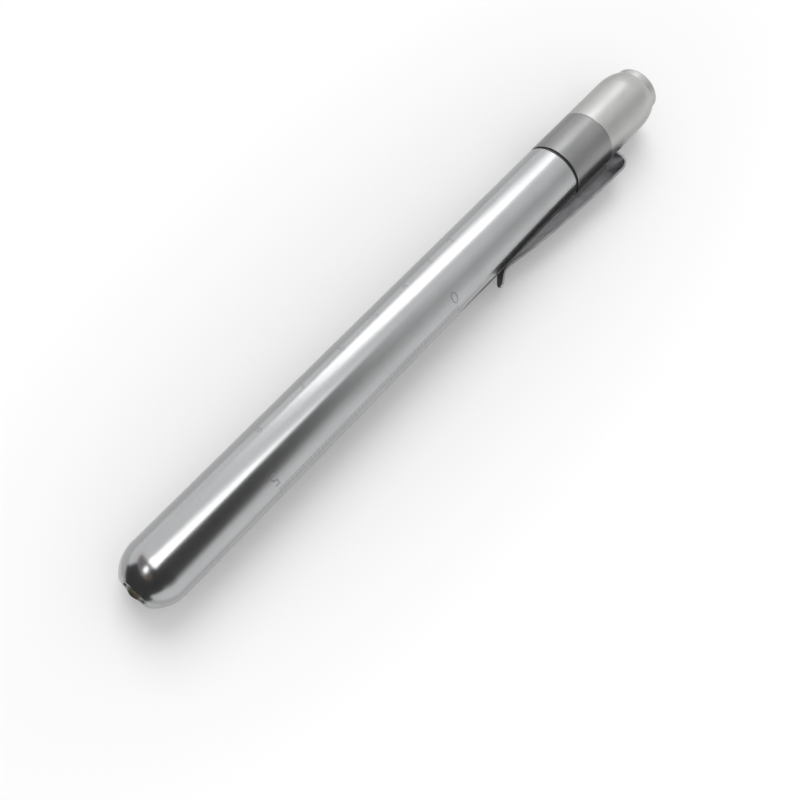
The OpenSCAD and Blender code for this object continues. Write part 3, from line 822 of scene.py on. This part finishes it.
class PENLIGHT_OT_button(bpy.types.Operator):
    """Turn the hollow end button with its crowned top and grooved stem"""

    bl_idname = "penlight.button"
    bl_label = "Button"

    edge_from = math.radians(20)

    def execute(self, context):
        sizes, _ = settings(context)
        button_r = BARREL_R - sizes.shoulder_drop - sizes.well_rim - sizes.fit
        rounding = sizes.button_round
        crown_r = button_r - rounding
        crown_arc = (crown_r**2 + sizes.crown_h**2) / (2 * sizes.crown_h)
        edge_x = BUTTON_TOP - sizes.crown_h
        skirt = CAP_REAR - sizes.well_depth + sizes.skirt_gap
        roof = edge_x - sizes.button_wall
        stem_r = sizes.stem_d / 2
        clip_low, clip_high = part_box("circlip")
        pin_low, pin_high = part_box("contact_pin")
        pin_r = (pin_high.z - pin_low.z) / 2
        groove_r = stem_r - sizes.groove_depth
        outline = [
            *arc(BUTTON_TOP - crown_arc, 0, crown_arc, 0, math.asin(crown_r / crown_arc), steps=14),
            *arc(edge_x - rounding, crown_r, rounding, self.edge_from, math.pi / 2, steps=7),
            (skirt, button_r, sizes.edge),
            (skirt, button_r - sizes.button_wall, 0),
            (roof, button_r - sizes.button_wall, 0),
            (roof, stem_r, 0),
            (clip_high.x, stem_r, 0),
            (clip_high.x, groove_r, 0),
            (clip_low.x, groove_r, 0),
            (clip_low.x, stem_r, 0),
            (STEM_FRONT, stem_r, 0),
            (STEM_FRONT, pin_r, 0),
            (pin_high.x, pin_r, 0),
            (pin_high.x, 0, 0),
        ]
        add_piece(
            "button", turned(outline, sizes, closed=False), bpy.data.materials["satin_aluminium"],
            "button", ["push_button"],
        )
        return {"FINISHED"}


def flared_width(sizes, out):
    """Width of the clip where its root rises from the foot to the arch."""
    low = FOOT_OUT - sizes.strip_t
    full = FOOT_OUT + sizes.flare_h
    share = min(max((out - low) / (full - low), 0), 1)
    return sizes.foot_w + (sizes.clip_w - sizes.foot_w) * share


class PENLIGHT_OT_clip(bpy.types.Operator):
    """Bend the spring steel strip: foot, arch, tongue, bend and tip"""

    bl_idname = "penlight.clip"
    bl_label = "Pocket clip"

    # Steps along each stretch of the strip and cuts across it
    foot_steps = 6
    arch_steps = 32
    tongue_steps = 28
    bend_steps = 16
    tip_steps = 14
    cuts_across = 7

    # The rounded tip ends just short of a point, and only square corners are rounded
    tip_share = 0.985
    corner_turn = math.radians(60)

    def execute(self, context):
        sizes, colours = settings(context)
        stations = [self.station(sizes, *stop) for stop in self.path(sizes)]
        shape = bmesh.new()
        square = bmesh.ops.create_circle(shape, segments=4, radius=math.sqrt(0.5), cap_ends=False)
        bmesh.ops.rotate(shape, verts=square["verts"], matrix=Matrix.Rotation(math.pi / 4, 3, "Z"))
        wide = [e for e in shape.edges if abs(e.verts[0].co.y - e.verts[1].co.y) > 0.5]
        bmesh.ops.subdivide_edges(shape, edges=wide, cuts=self.cuts_across)
        bmesh.ops.transform(shape, verts=shape.verts, matrix=stations[0])
        edges = shape.edges[:]
        rings = [shape.verts[:]]
        for before, after in zip(stations, stations[1:]):
            grown = bmesh.ops.extrude_edge_only(shape, edges=edges)["geom"]
            edges = [part for part in grown if isinstance(part, bmesh.types.BMEdge)]
            edges = [edge for edge in edges if edge.is_boundary]
            rings.append([part for part in grown if isinstance(part, bmesh.types.BMVert)])
            bmesh.ops.transform(shape, verts=rings[-1], matrix=after @ before.inverted())
        self.hollow(sizes, rings, stations)
        bmesh.ops.holes_fill(shape, edges=shape.edges, sides=len(rings[0]))
        long_edges = [e for e in shape.edges if e.calc_face_angle(0) > self.corner_turn]
        bmesh.ops.bevel(
            shape, geom=long_edges, offset=sizes.strip_edge, offset_type="OFFSET", segments=3,
            profile=0.5, affect="EDGES", clamp_overlap=True, material=-1,
        )
        strip = add_piece(
            "clip_strip", shape, dark_spring_steel(colours.clip, colours.rubbed), None,
            ["clip_foot", "pocket_clip"],
        )
        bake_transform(strip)
        return {"FINISHED"}

    @staticmethod
    def hollow(sizes, rings, stations):
        """Hollows the strip across its width, past the middle of the arch."""
        for ring, station in zip(rings, stations):
            normal = station.col[0].to_3d().normalized()
            share = max(-normal.dot(OUT), 0)
            for vert in ring:
                across = (vert.co - AXIS).dot(ACROSS)
                vert.co += normal * share * across**2 / (2 * sizes.strip_hollow)

    def path(self, sizes):
        """Stops along the strip: place along the barrel, distance from its axis, slope and width."""
        foot_front = ends("clip_foot")[0]
        root = CLIP_ROOT.x
        arch_mid = FOOT_OUT + sizes.arch_r
        bend_x = root - sizes.clip_reach
        bend_mid = BARREL_R + sizes.clip_clear + sizes.strip_t / 2 + sizes.bend_r
        to_arch = sizes.bow_r - sizes.arch_r
        to_bend = sizes.bow_r + sizes.bend_r
        apart = math.hypot(sizes.clip_reach, arch_mid - bend_mid)
        bow_from = math.atan2(arch_mid - bend_mid, sizes.clip_reach)
        bow_from += math.acos((apart**2 + to_arch**2 - to_bend**2) / (2 * apart * to_arch))
        bow_x = root - to_arch * math.cos(bow_from)
        bow_mid = arch_mid - to_arch * math.sin(bow_from)
        bow_to = math.atan2(bend_mid - bow_mid, bend_x - bow_x)
        tip_rise = math.sin(sizes.tip_slope)
        tip_run = math.cos(sizes.tip_slope)
        tip_x = bend_x - sizes.bend_r * tip_rise - sizes.tip_len * tip_run
        knots = [
            (root, sizes.clip_w),
            (bend_x + sizes.waist_set, sizes.waist_w),
            (bend_x, sizes.bend_w),
            (tip_x + sizes.tip_w / 2, sizes.tip_w),
        ]

        def tongue_width(x):
            for (x0, w0), (x1, w1) in zip(knots, knots[1:]):
                if x >= x1:
                    return w0 + (w1 - w0) * min((x0 - x) / (x0 - x1), 1) if x < x0 else w0
            half = sizes.tip_w / 2
            past = min((knots[-1][0] - x) / half, self.tip_share)
            return sizes.tip_w * math.sqrt(1 - past**2)

        foot_step = (root - foot_front) / self.foot_steps
        stops = [
            (foot_front + foot_step * i, FOOT_OUT, 0.0, sizes.foot_w) for i in range(self.foot_steps)
        ]
        for i in range(self.arch_steps + 1):
            turn = (math.pi / 2 + bow_from) * i / self.arch_steps
            x = root + sizes.arch_r * math.sin(turn)
            out = arch_mid - sizes.arch_r * math.cos(turn)
            stops.append((x, out, turn, flared_width(sizes, out)))
        for i in range(1, self.tongue_steps):
            turn = bow_from + (bow_to - bow_from) * i / self.tongue_steps
            x = bow_x + sizes.bow_r * math.cos(turn)
            out = bow_mid + sizes.bow_r * math.sin(turn)
            stops.append((x, out, math.pi / 2 + turn, tongue_width(x)))
        bend_from = bow_to - math.pi / 2
        for i in range(self.bend_steps + 1):
            turn = bend_from - (bend_from + sizes.tip_slope) * i / self.bend_steps
            x = bend_x + sizes.bend_r * math.sin(turn)
            out = bend_mid - sizes.bend_r * math.cos(turn)
            stops.append((x, out, math.pi + turn, tongue_width(x)))
        end_x, end_out, end_turn, _ = stops[-1]
        for i in range(1, self.tip_steps + 1):
            reach = sizes.tip_len * math.sin(math.pi / 2 * i / self.tip_steps)
            x = end_x - reach * tip_run
            stops.append((x, end_out + reach * tip_rise, end_turn, tongue_width(x)))
        return stops

    @staticmethod
    def station(sizes, x, out, turn, width):
        """The matrix that puts a unit square across the strip at a stop of its path."""
        ahead = ALONG * math.cos(turn) + OUT * math.sin(turn)
        normal = OUT * math.cos(turn) - ALONG * math.sin(turn)
        place = AXIS + ALONG * x + OUT * out
        columns = [part.to_4d() for part in (normal * sizes.strip_t, ACROSS * width, ahead * HAIR)]
        for column in columns:
            column.w = 0
        return Matrix([*columns, place.to_4d()]).transposed()


class PENLIGHT_OT_print(bpy.types.Operator):
    """Print the centimetre scale and the ring gauge on the barrel"""

    bl_idname = "penlight.print"
    bl_label = "Print"

    # Turns round the barrel from its top to each row of marks
    scale_turn = math.radians(52.3)
    gauge_turn = math.radians(-108)

    # The scale's length, the gauge's rings in millimetres, and a digit's share of its font's size
    centimetres = 5
    rings = range(8, 1, -1)
    digit_share = 0.7

    # How finely ink is cut to follow the barrel
    digit_rows = 10
    bar_rows = 6
    ring_steps = 72

    def execute(self, context):
        sizes, colours = settings(context)
        ink = printed_ink(colours.ink)
        add_piece("scale_print", self.scale(sizes), ink, "barrel")
        add_piece("gauge_print", self.gauge(sizes), ink, "barrel")
        return {"FINISHED"}

    def scale(self, sizes):
        """A baseline with a mark for each millimetre, longer for centimetres, numbered at its ends."""
        shape = bmesh.new()
        run = sizes.scale_unit * self.centimetres
        line = sizes.line_w
        self.bar(shape, (run / 2, 0), (run + line, line))
        for mark in range(10 * self.centimetres + 1):
            tick = sizes.minor_len if mark % 10 else sizes.tick_len
            self.bar(shape, (mark * sizes.scale_unit / 10, (line + tick) / 2), (line, tick))
        for mark in (0, self.centimetres):
            self.digit(shape, str(mark), sizes.digit_h, (mark * sizes.scale_unit, -sizes.digit_row))
        self.wrap(shape, sizes, NOSE + sizes.scale_start, -1, self.scale_turn)
        return shape

    def gauge(self, sizes):
        """A row of rings from eight to two millimetres across, with a row of their numbers."""
        shape = bmesh.new()
        along = 0.0
        for count in self.rings:
            ring_r = count * MILLIMETRE / 2
            along += ring_r
            self.ring(shape, sizes, (along, 0), ring_r)
            self.digit(shape, str(count), sizes.gauge_digit_h, (along, -sizes.gauge_row))
            along += ring_r + sizes.gauge_gap
        self.wrap(shape, sizes, NOSE + sizes.gauge_start, 1, self.gauge_turn)
        return shape

    def bar(self, shape, middle, extent):
        """A flat bar of ink."""
        grid = bmesh.ops.create_grid(shape, x_segments=1, y_segments=self.bar_rows, size=0.5)
        place = Matrix.Translation((*middle, 0)) @ Matrix.Diagonal((*extent, 1, 1))
        bmesh.ops.transform(shape, verts=grid["verts"], matrix=place)

    def ring(self, shape, sizes, middle, radius):
        """A flat ring of ink."""
        rim = middle[0] + radius
        half = sizes.line_w / 2
        line = [shape.verts.new((x, middle[1], 0)) for x in (rim - half, rim + half)]
        bmesh.ops.spin(
            shape, geom=[*line, shape.edges.new(line)], cent=(*middle, 0), axis=(0, 0, 1),
            dvec=(0, 0, 0), angle=FULL_TURN, steps=self.ring_steps, use_merge=True, use_duplicate=False,
        )

    def digit(self, shape, text, height, foot):
        """A flat plain digit of ink, standing on the given foot."""
        curve = bpy.data.curves.new("digit", "FONT")
        curve.body = text
        curve.size = height / self.digit_share
        curve.align_x = "CENTER"
        curve.resolution_u = 4
        holder = bpy.data.objects.new("digit", curve)
        bpy.context.scene.collection.objects.link(holder)
        bpy.context.view_layer.update()
        ready = holder.evaluated_get(bpy.context.evaluated_depsgraph_get())
        flat = bpy.data.meshes.new_from_object(ready)
        bpy.data.objects.remove(holder)
        bpy.data.curves.remove(curve)
        flat.transform(Matrix.Translation((*foot, 0)))
        first = len(shape.verts)
        shape.from_mesh(flat)
        bpy.data.meshes.remove(flat)
        shape.verts.ensure_lookup_table()
        for row in range(1, self.digit_rows):
            faces = [f for f in shape.faces if any(v.index >= first or v.index < 0 for v in f.verts)]
            around = {part for face in faces for part in (*face.verts, *face.edges)}
            bmesh.ops.bisect_plane(
                shape, geom=[*around, *faces], dist=WELD,
                plane_co=(0, foot[1] + height * row / self.digit_rows, 0), plane_no=(0, 1, 0),
            )

    @staticmethod
    def wrap(shape, sizes, start, reading, turn):
        """Gives flat ink its thickness and rolls it on to the barrel, reading forwards or backwards."""
        bmesh.ops.remove_doubles(shape, verts=shape.verts, dist=WELD)
        bmesh.ops.recalc_face_normals(shape, faces=shape.faces)
        lower = shape.faces[:]
        raised = bmesh.ops.extrude_face_region(shape, geom=lower, use_keep_orig=True)["geom"]
        lift = [part for part in raised if isinstance(part, bmesh.types.BMVert)]
        bmesh.ops.translate(shape, verts=lift, vec=(0, 0, sizes.ink_t))
        for vert in shape.verts:
            angle = turn - reading * vert.co.y / BARREL_R
            radius = BARREL_R - sizes.ink_t + vert.co.z
            side = Vector((0, -math.sin(angle), math.cos(angle)))
            vert.co = AXIS + ALONG * (start + reading * vert.co.x) + side * radius


class PENLIGHT_OT_inside(bpy.types.Operator):
    """Wind the button's spring and give the other pieces inside the torch their finishes"""

    bl_idname = "penlight.inside"
    bl_label = "Inside"

    def execute(self, context):
        sizes, colours = settings(context)
        brass = stamped_metal("plain_brass", colours.brass, rough=0.22)
        plated = stamped_metal("plated_steel", colours.plated, rough=0.2)
        wire = stamped_metal("spring_wire", darker(colours.plated, share=0.25), rough=0.26)
        film = moulded_plastic("shrunk_film", colours.film, rough=0.2)
        ivory = moulded_plastic("ivory_plastic", colours.ivory, rough=0.42)
        black = moulded_plastic("black_plastic", colours.black_plastic, rough=0.45)
        finishes = {
            brass: ["anode_contact", "spring_cup", "lock_ring", "contact_pin"],
            plated: ["led_leads", "cathode_ring", "front_cell_can", "rear_cell_can"],
            wire: ["battery_spring", "circlip"],
            film: ["front_cell_jacket", "rear_cell_jacket"],
            ivory: ["led_holder"],
            black: ["switch_housing"],
        }
        for material, nodes in finishes.items():
            for node in nodes:
                mesh = frame["nodes"][node].data
                mesh.materials.clear()
                mesh.materials.append(material)
        low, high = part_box("button_spring")
        shape = self.coil(sizes, low, high)
        coil = add_piece("button_coil", shape, wire, None, ["button_spring"])
        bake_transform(coil)
        return {"FINISHED"}

    @staticmethod
    def coil(sizes, low, high):
        """Winds a round wire from the lowest to the highest corner along the torch."""
        wire_r = sizes.button_wire / 2
        coil_r = (high.z - low.z) / 2 - wire_r
        rise = high.x - low.x - sizes.button_wire
        wire_sides = 12
        steps_a_turn = 40
        steps = round(steps_a_turn * sizes.button_turns)
        shape = bmesh.new()
        start = Matrix.Translation((low.x + wire_r, AXIS.y, AXIS.z + coil_r))
        place = start @ Matrix.Rotation(math.pi / 2, 4, "X")
        bmesh.ops.create_circle(shape, cap_ends=False, radius=wire_r, segments=wire_sides, matrix=place)
        bmesh.ops.spin(
            shape, geom=shape.verts[:] + shape.edges[:], cent=AXIS, axis=ALONG,
            dvec=ALONG * rise / steps, angle=FULL_TURN * sizes.button_turns, steps=steps,
            use_merge=False, use_duplicate=False,
        )
        bmesh.ops.holes_fill(shape, edges=shape.edges, sides=wire_sides)
        return shape


class PENLIGHT_OT_stage(bpy.types.Operator):
    """Set up the floor, the lamp, the reflection cards and the camera"""

    bl_idname = "penlight.stage"
    bl_label = "Stage"

    # Where the lamp stands, how high the cards hang, where they end before the nose, and a gap between two
    lamp_from = Vector((0.35, 0.6, 0.8))
    top = 0.6
    front = -0.8
    layer = 0.0005

    # Outlines of the reflection cards and of the painted shade between the barrel and the clip, in metres
    # along and across the floor
    overhead = [(-0.8, -2.0), (2.4, -2.0), (2.4, 0.07), (-0.22, 0.07), (-0.22, 2.2), (-0.8, 2.2)]
    nose_panel = [(-0.22, 0.07), (0.17, 0.09), (0.17, 0.13), (0.09, 0.3), (0.04, 0.45), (-0.22, 0.47)]
    tail_panel = [
        (0.33, 0.72), (0.35, 0.45), (0.48, 0.365), (0.75, 0.55), (1.1, 0.9),
        (1.1, 1.3), (1.5, 2.2), (1.8, 2.9), (0.95, 3.0),
    ]
    soft_panel = [(0.36, 0.07), (0.46, 0.07), (0.58, 0.35), (0.75, 0.55), (0.48, 0.365), (0.36, 0.42)]
    nose_glint = [(-0.6, 0.24), (-0.42, 0.2), (-0.34, 0.32), (-0.42, 0.45), (-0.6, 0.43)]
    # The floor strips are greyer than the lit floor: a painted reflection of the shade on the floor beside
    # the barrel, which its edges mirror
    left_strip = [(-0.12, 0.012), (0.2, 0.012), (0.2, 0.045), (-0.12, 0.045)]
    right_strip = [(-0.12, -0.025), (0.2, -0.025), (0.2, -0.01), (-0.12, -0.01)]
    nose_haze = [(-0.75, 0.15), (-0.22, 0.12), (-0.22, 1.6), (-0.75, 1.6)]
    nose_spot = [(-0.75, -0.08), (-0.5, -0.1), (-0.44, 0.02), (-0.48, 0.13), (-0.75, 0.14)]
    nose_flag = [
        (-0.0765, -0.0013), (-0.0765, 0.005), (-0.086, 0.009), (-0.1, 0.033), (-0.35, 0.25),
        (-0.8, 0.5), (-0.8, -0.3), (-0.27, -0.13), (-0.1, -0.026), (-0.086, -0.005),
    ]
    # The black flag beside the clip paints the shaded floor there into the reflections of the clip and the
    # barrel
    clip_flag = [
        (0.01, 0.002), (0.01, -0.0092), (0.022, -0.0095), (0.028, -0.024), (0.034, -0.034),
        (0.062, -0.058), (0.098, -0.095), (0.126, -0.095), (0.08, -0.032), (0.066, -0.008), (0.066, 0.002),
    ]
    clip_gap = [(0.02, -0.003), (0.0575, -0.0062), (0.0605, -0.004), (0.0605, 0.001), (0.02, 0.001)]
    hood_front = [
        (-0.5, -0.6), (0, -0.6), (0.8, -2.0), (0.7, -0.3), (top, 0.1), (top, 1.7), (0, 1.4), (-0.5, 1.4),
    ]

    # The upright card, given by height and place across, shrinks with its fade towards a place on the nose
    nose_place = Vector((-0.0731, AXIS.y, 0.0121))
    near = 0.02325
    near_fade = 0.038

    # Where the floor's glow starts and is full, with the distance along the barrel shortened; nearer the
    # object the glow fades out, which paints shade round it
    glow_stretch = (0.35, 1, 0)
    glow_reach = (0.012, 0.05)

    # Brightness of the room beside the cards, and what some cards add to theirs
    room_level = 0.9
    soft_rise = 0.6
    flag_end = 0.4
    flag_inner = 0.06
    flag_floor = 0.1
    flag_under = 0.62
    flag_tip = 0.7

    # Where the cards' tones change, in metres along the barrel or across it, and the slants of two changes
    tail_fall = (0.4, 0.6)
    tail_slant = 0.25
    soft_along = (0.36, 0.46)
    soft_across = (0.05, 0.4)
    inner_across = (-0.0112, -0.0085)
    under_across = (-0.0078, -0.002)
    flag_start = (0.01, 0.017)
    hook_along = (0.02, 0.03)
    tongue_along = (0.036, 0.048)
    arch_along = (0.0555, 0.0605)
    hood_tail = (0.16, 0.27)
    hood_rise = (-0.35, 0.07)
    hood_right = (-1.9, -0.8)
    hood_left = (1.1, 2.1)
    hood_slant = 0.45

    def execute(self, context):
        stage = context.scene.penlight_stage
        context.scene.view_settings.view_transform = "Standard"
        self.world(context, stage)
        self.floor(stage)
        self.lamp(stage)
        self.cards(stage)
        self.camera(context, stage)
        return {"FINISHED"}

    @staticmethod
    def world(context, stage):
        """A white room, which lights the object at a plain level."""
        world = bpy.data.worlds.new("white_room")
        world.use_nodes = True
        nodes = Nodes(world.node_tree)
        background = world.node_tree.nodes["Background"]
        nodes.fill(background.inputs["Color"], (1, 1, 1, 1))
        nodes.fill(background.inputs["Strength"], stage.ambient + (1 - stage.ambient) * nodes.seen())
        context.scene.world = world

    def floor(self, stage):
        """A pale floor that keeps the object's shadow, and whose glow fades out near the object, which
        paints shade round it.
        """
        finish = Finish("pale_floor", Roughness=0.9, Specular_IOR_Level=0.0, Emission_Strength=1.0)
        finish.varies("Base Color", (*stage.floor, 1))
        # Painted shade: the glow is left out near the object
        around = finish.place(self.glow_stretch)
        reach = finish.node("ShaderNodeVectorMath", {0: around}, output="Value", operation="LENGTH")
        finish.varies("Emission Color", stage.floor_lift * finish.seen() * reach.between(*self.glow_reach))
        shape = bmesh.new()
        bmesh.ops.create_grid(shape, x_segments=1, y_segments=1, size=stage.room / 2)
        mesh_object("floor", shape, finish.material)

    def lamp(self, stage):
        """The soft lamp that gives the shadow."""
        light = bpy.data.lights.new("soft_lamp", "SUN")
        light.energy = stage.sun
        light.angle = stage.sun_spread
        holder = bpy.data.objects.new("soft_lamp", light)
        bpy.context.scene.collection.objects.link(holder)
        holder.rotation_euler = self.lamp_from.to_track_quat("Z", "Y").to_euler()
        holder.visible_glossy = False

    def cards(self, stage):
        """Cards that only metal sees, as a photographer hangs them, and one dark card that the camera
        sees, a painted shade on the floor between the barrel and the clip.
        """
        upright = Matrix.Translation((self.front, 0, 0)) @ Matrix.Rotation(-math.pi / 2, 4, "Y")
        shrink = Matrix.Translation(self.nose_place) @ Matrix.Scale(self.near, 4)
        place = shrink @ Matrix.Translation(-self.nose_place) @ upright
        front = self.hood_finish("hood_front", stage, self.near_fade)
        self.card("hood_front", front, self.hood_front, 0, place)
        self.card("overhead", self.hood_finish("overhead", stage), self.overhead, self.top + self.layer)
        self.card("tail_panel", self.tail_finish(stage), self.tail_panel, self.top)
        self.card("soft_panel", self.soft_finish(), self.soft_panel, self.top)
        self.card("clip_flag", self.flag_finish(stage), self.clip_flag, 2 * self.layer)
        for name, outline, height, level in (
            ("nose_haze", self.nose_haze, self.top, stage.haze),
            ("nose_spot", self.nose_spot, self.top, stage.spot),
            ("nose_panel", self.nose_panel, self.top, 3 * [stage.bright]),
            ("nose_glint", self.nose_glint, self.top - self.layer, 3 * [stage.bright]),
            ("left_strip", self.left_strip, self.layer, 3 * [stage.beside]),
            ("right_strip", self.right_strip, self.layer, 3 * [stage.beside]),
            ("nose_flag", self.nose_flag, 2 * self.layer, 3 * [stage.flag]),
        ):
            self.card(name, self.card_finish(name, (*level, 1)), outline, height)
        # Painted shade: a dark card on the floor that the camera sees, in the gap between the barrel and
        # the clip, at the dark card's level
        gap = self.card_finish("clip_gap", (*3 * [stage.dark], 1))
        shade = self.card("clip_gap", gap, self.clip_gap, self.layer)
        shade.visible_camera = True
        shade.visible_glossy = False

    @staticmethod
    def card_finish(name, glow=(0, 0, 0, 1)):
        """A black face that glows by itself."""
        finish = Finish(name, Base_Color=(0, 0, 0, 1), Specular_IOR_Level=0.0, Emission_Strength=1.0)
        finish.varies("Emission Color", glow)
        return finish

    def tail_finish(self, stage):
        """A bright panel that weakens towards its far end."""
        finish = self.card_finish("tail_panel")
        along, side = self.place_on(finish)
        far = (along - self.tail_slant * side).between(*self.tail_fall)
        finish.varies("Emission Color", stage.bright - stage.fall * far)
        return finish

    def soft_finish(self):
        """A panel that fades from the bright panel over the tail to the level of the room."""
        finish = self.card_finish("soft_panel")
        along, side = self.place_on(finish)
        near = side.between(*self.soft_across) * along.between(*self.soft_along)
        finish.varies("Emission Color", self.room_level + self.soft_rise * near)
        return finish

    def flag_finish(self, stage):
        """A black flag beside the clip that lightens under the barrel: a painted reflection of the shaded
        floor there, which the clip and the barrel's edge mirror.
        """
        finish = self.card_finish("clip_flag")
        along, side = self.place_on(finish)
        inner = side.between(*self.inner_across)
        tongue = self.flag_tip + (1 - self.flag_tip) * along.between(*self.tongue_along)
        under = side.between(*self.under_across) * tongue * (1 - along.between(*self.arch_along))
        rise = (self.flag_floor * inner + self.flag_under * under) * along.between(*self.hook_along)
        level = stage.flag + self.flag_inner * inner + rise
        end = 1 - along.between(*self.flag_start)
        finish.varies("Emission Color", level + (self.flag_end - level) * end)
        return finish

    @staticmethod
    def place_on(finish):
        """The place on a card, along and across the floor."""
        here = {"Vector": finish.place()}
        return [finish.node("ShaderNodeSeparateXYZ", here, output=axis) for axis in "XY"]

    def hood_finish(self, name, stage, scale=1):
        """Dark over the nose, grey over the tail, and open towards both sides."""
        finish = self.card_finish(name)
        along, side = [part * (1 / scale) for part in self.place_on(finish)]
        tail = along.between(*self.hood_tail)
        grey = stage.grey + stage.grey_rise * side.between(*self.hood_rise)
        level = stage.dark + (grey - stage.dark) * tail
        covered = (side - self.hood_slant * tail).between(*self.hood_right)
        opened = 1 - covered + side.between(*self.hood_left)
        finish.varies("Emission Color", level + (self.room_level - level) * opened)
        return finish

    @staticmethod
    def card(name, finish, outline, height, place=Matrix()):
        """One flat card that gives no shadow."""
        shape = bmesh.new()
        corners = [shape.verts.new((*corner, height)) for corner in outline]
        edges = [shape.edges.new(pair) for pair in zip(corners, corners[1:] + corners[:1])]
        bmesh.ops.contextual_create(shape, geom=edges)
        bmesh.ops.transform(shape, matrix=place, verts=shape.verts)
        card = mesh_object(name, shape, finish.material)
        card.visible_camera = False
        card.visible_diffuse = False
        card.visible_transmission = False
        card.visible_shadow = False
        return card

    @staticmethod
    def camera(context, stage):
        """The camera at the photograph's viewing angle."""
        lens = bpy.data.cameras.new("camera")
        lens.lens = stage.focal
        lens.clip_start = 10 * MILLIMETRE
        holder = bpy.data.objects.new("camera", lens)
        context.scene.collection.objects.link(holder)
        holder.location = stage.camera_at
        holder.rotation_euler = stage.camera_turn
        context.scene.camera = holder


class PENLIGHT_PT_panel(bpy.types.Panel):
    """Lists the steps that build the torch"""

    bl_label = "Penlight"
    bl_space_type = "VIEW_3D"
    bl_region_type = "UI"
    bl_category = "Penlight"

    def draw(self, context):
        for operator in OPERATORS:
            self.layout.operator(operator.bl_idname)


GROUPS = {
    "penlight_sizes": PenlightSizes,
    "penlight_colours": PenlightColours,
    "penlight_stage": PenlightStage,
}
OPERATORS = [
    PENLIGHT_OT_barrel,
    PENLIGHT_OT_lamp,
    PENLIGHT_OT_seal,
    PENLIGHT_OT_collar,
    PENLIGHT_OT_tail_cap,
    PENLIGHT_OT_button,
    PENLIGHT_OT_clip,
    PENLIGHT_OT_print,
    PENLIGHT_OT_inside,
    PENLIGHT_OT_stage,
]


def register():
    for group in GROUPS.values():
        bpy.utils.register_class(group)
    for name, group in GROUPS.items():
        setattr(bpy.types.Scene, name, bpy.props.PointerProperty(type=group))
    for operator in [*OPERATORS, PENLIGHT_PT_panel]:
        bpy.utils.register_class(operator)


def unregister():
    for operator in reversed([*OPERATORS, PENLIGHT_PT_panel]):
        bpy.utils.unregister_class(operator)
    for name, group in reversed(GROUPS.items()):
        delattr(bpy.types.Scene, name)
        bpy.utils.unregister_class(group)


def main():
    register()
    bpy.ops.penlight.barrel()
    bpy.ops.penlight.lamp()
    bpy.ops.penlight.seal()
    bpy.ops.penlight.collar()
    bpy.ops.penlight.tail_cap()
    bpy.ops.penlight.button()
    bpy.ops.penlight.clip()
    bpy.ops.penlight.print()
    bpy.ops.penlight.inside()
    bpy.ops.penlight.stage()


if __name__ == "__main__":
    main()
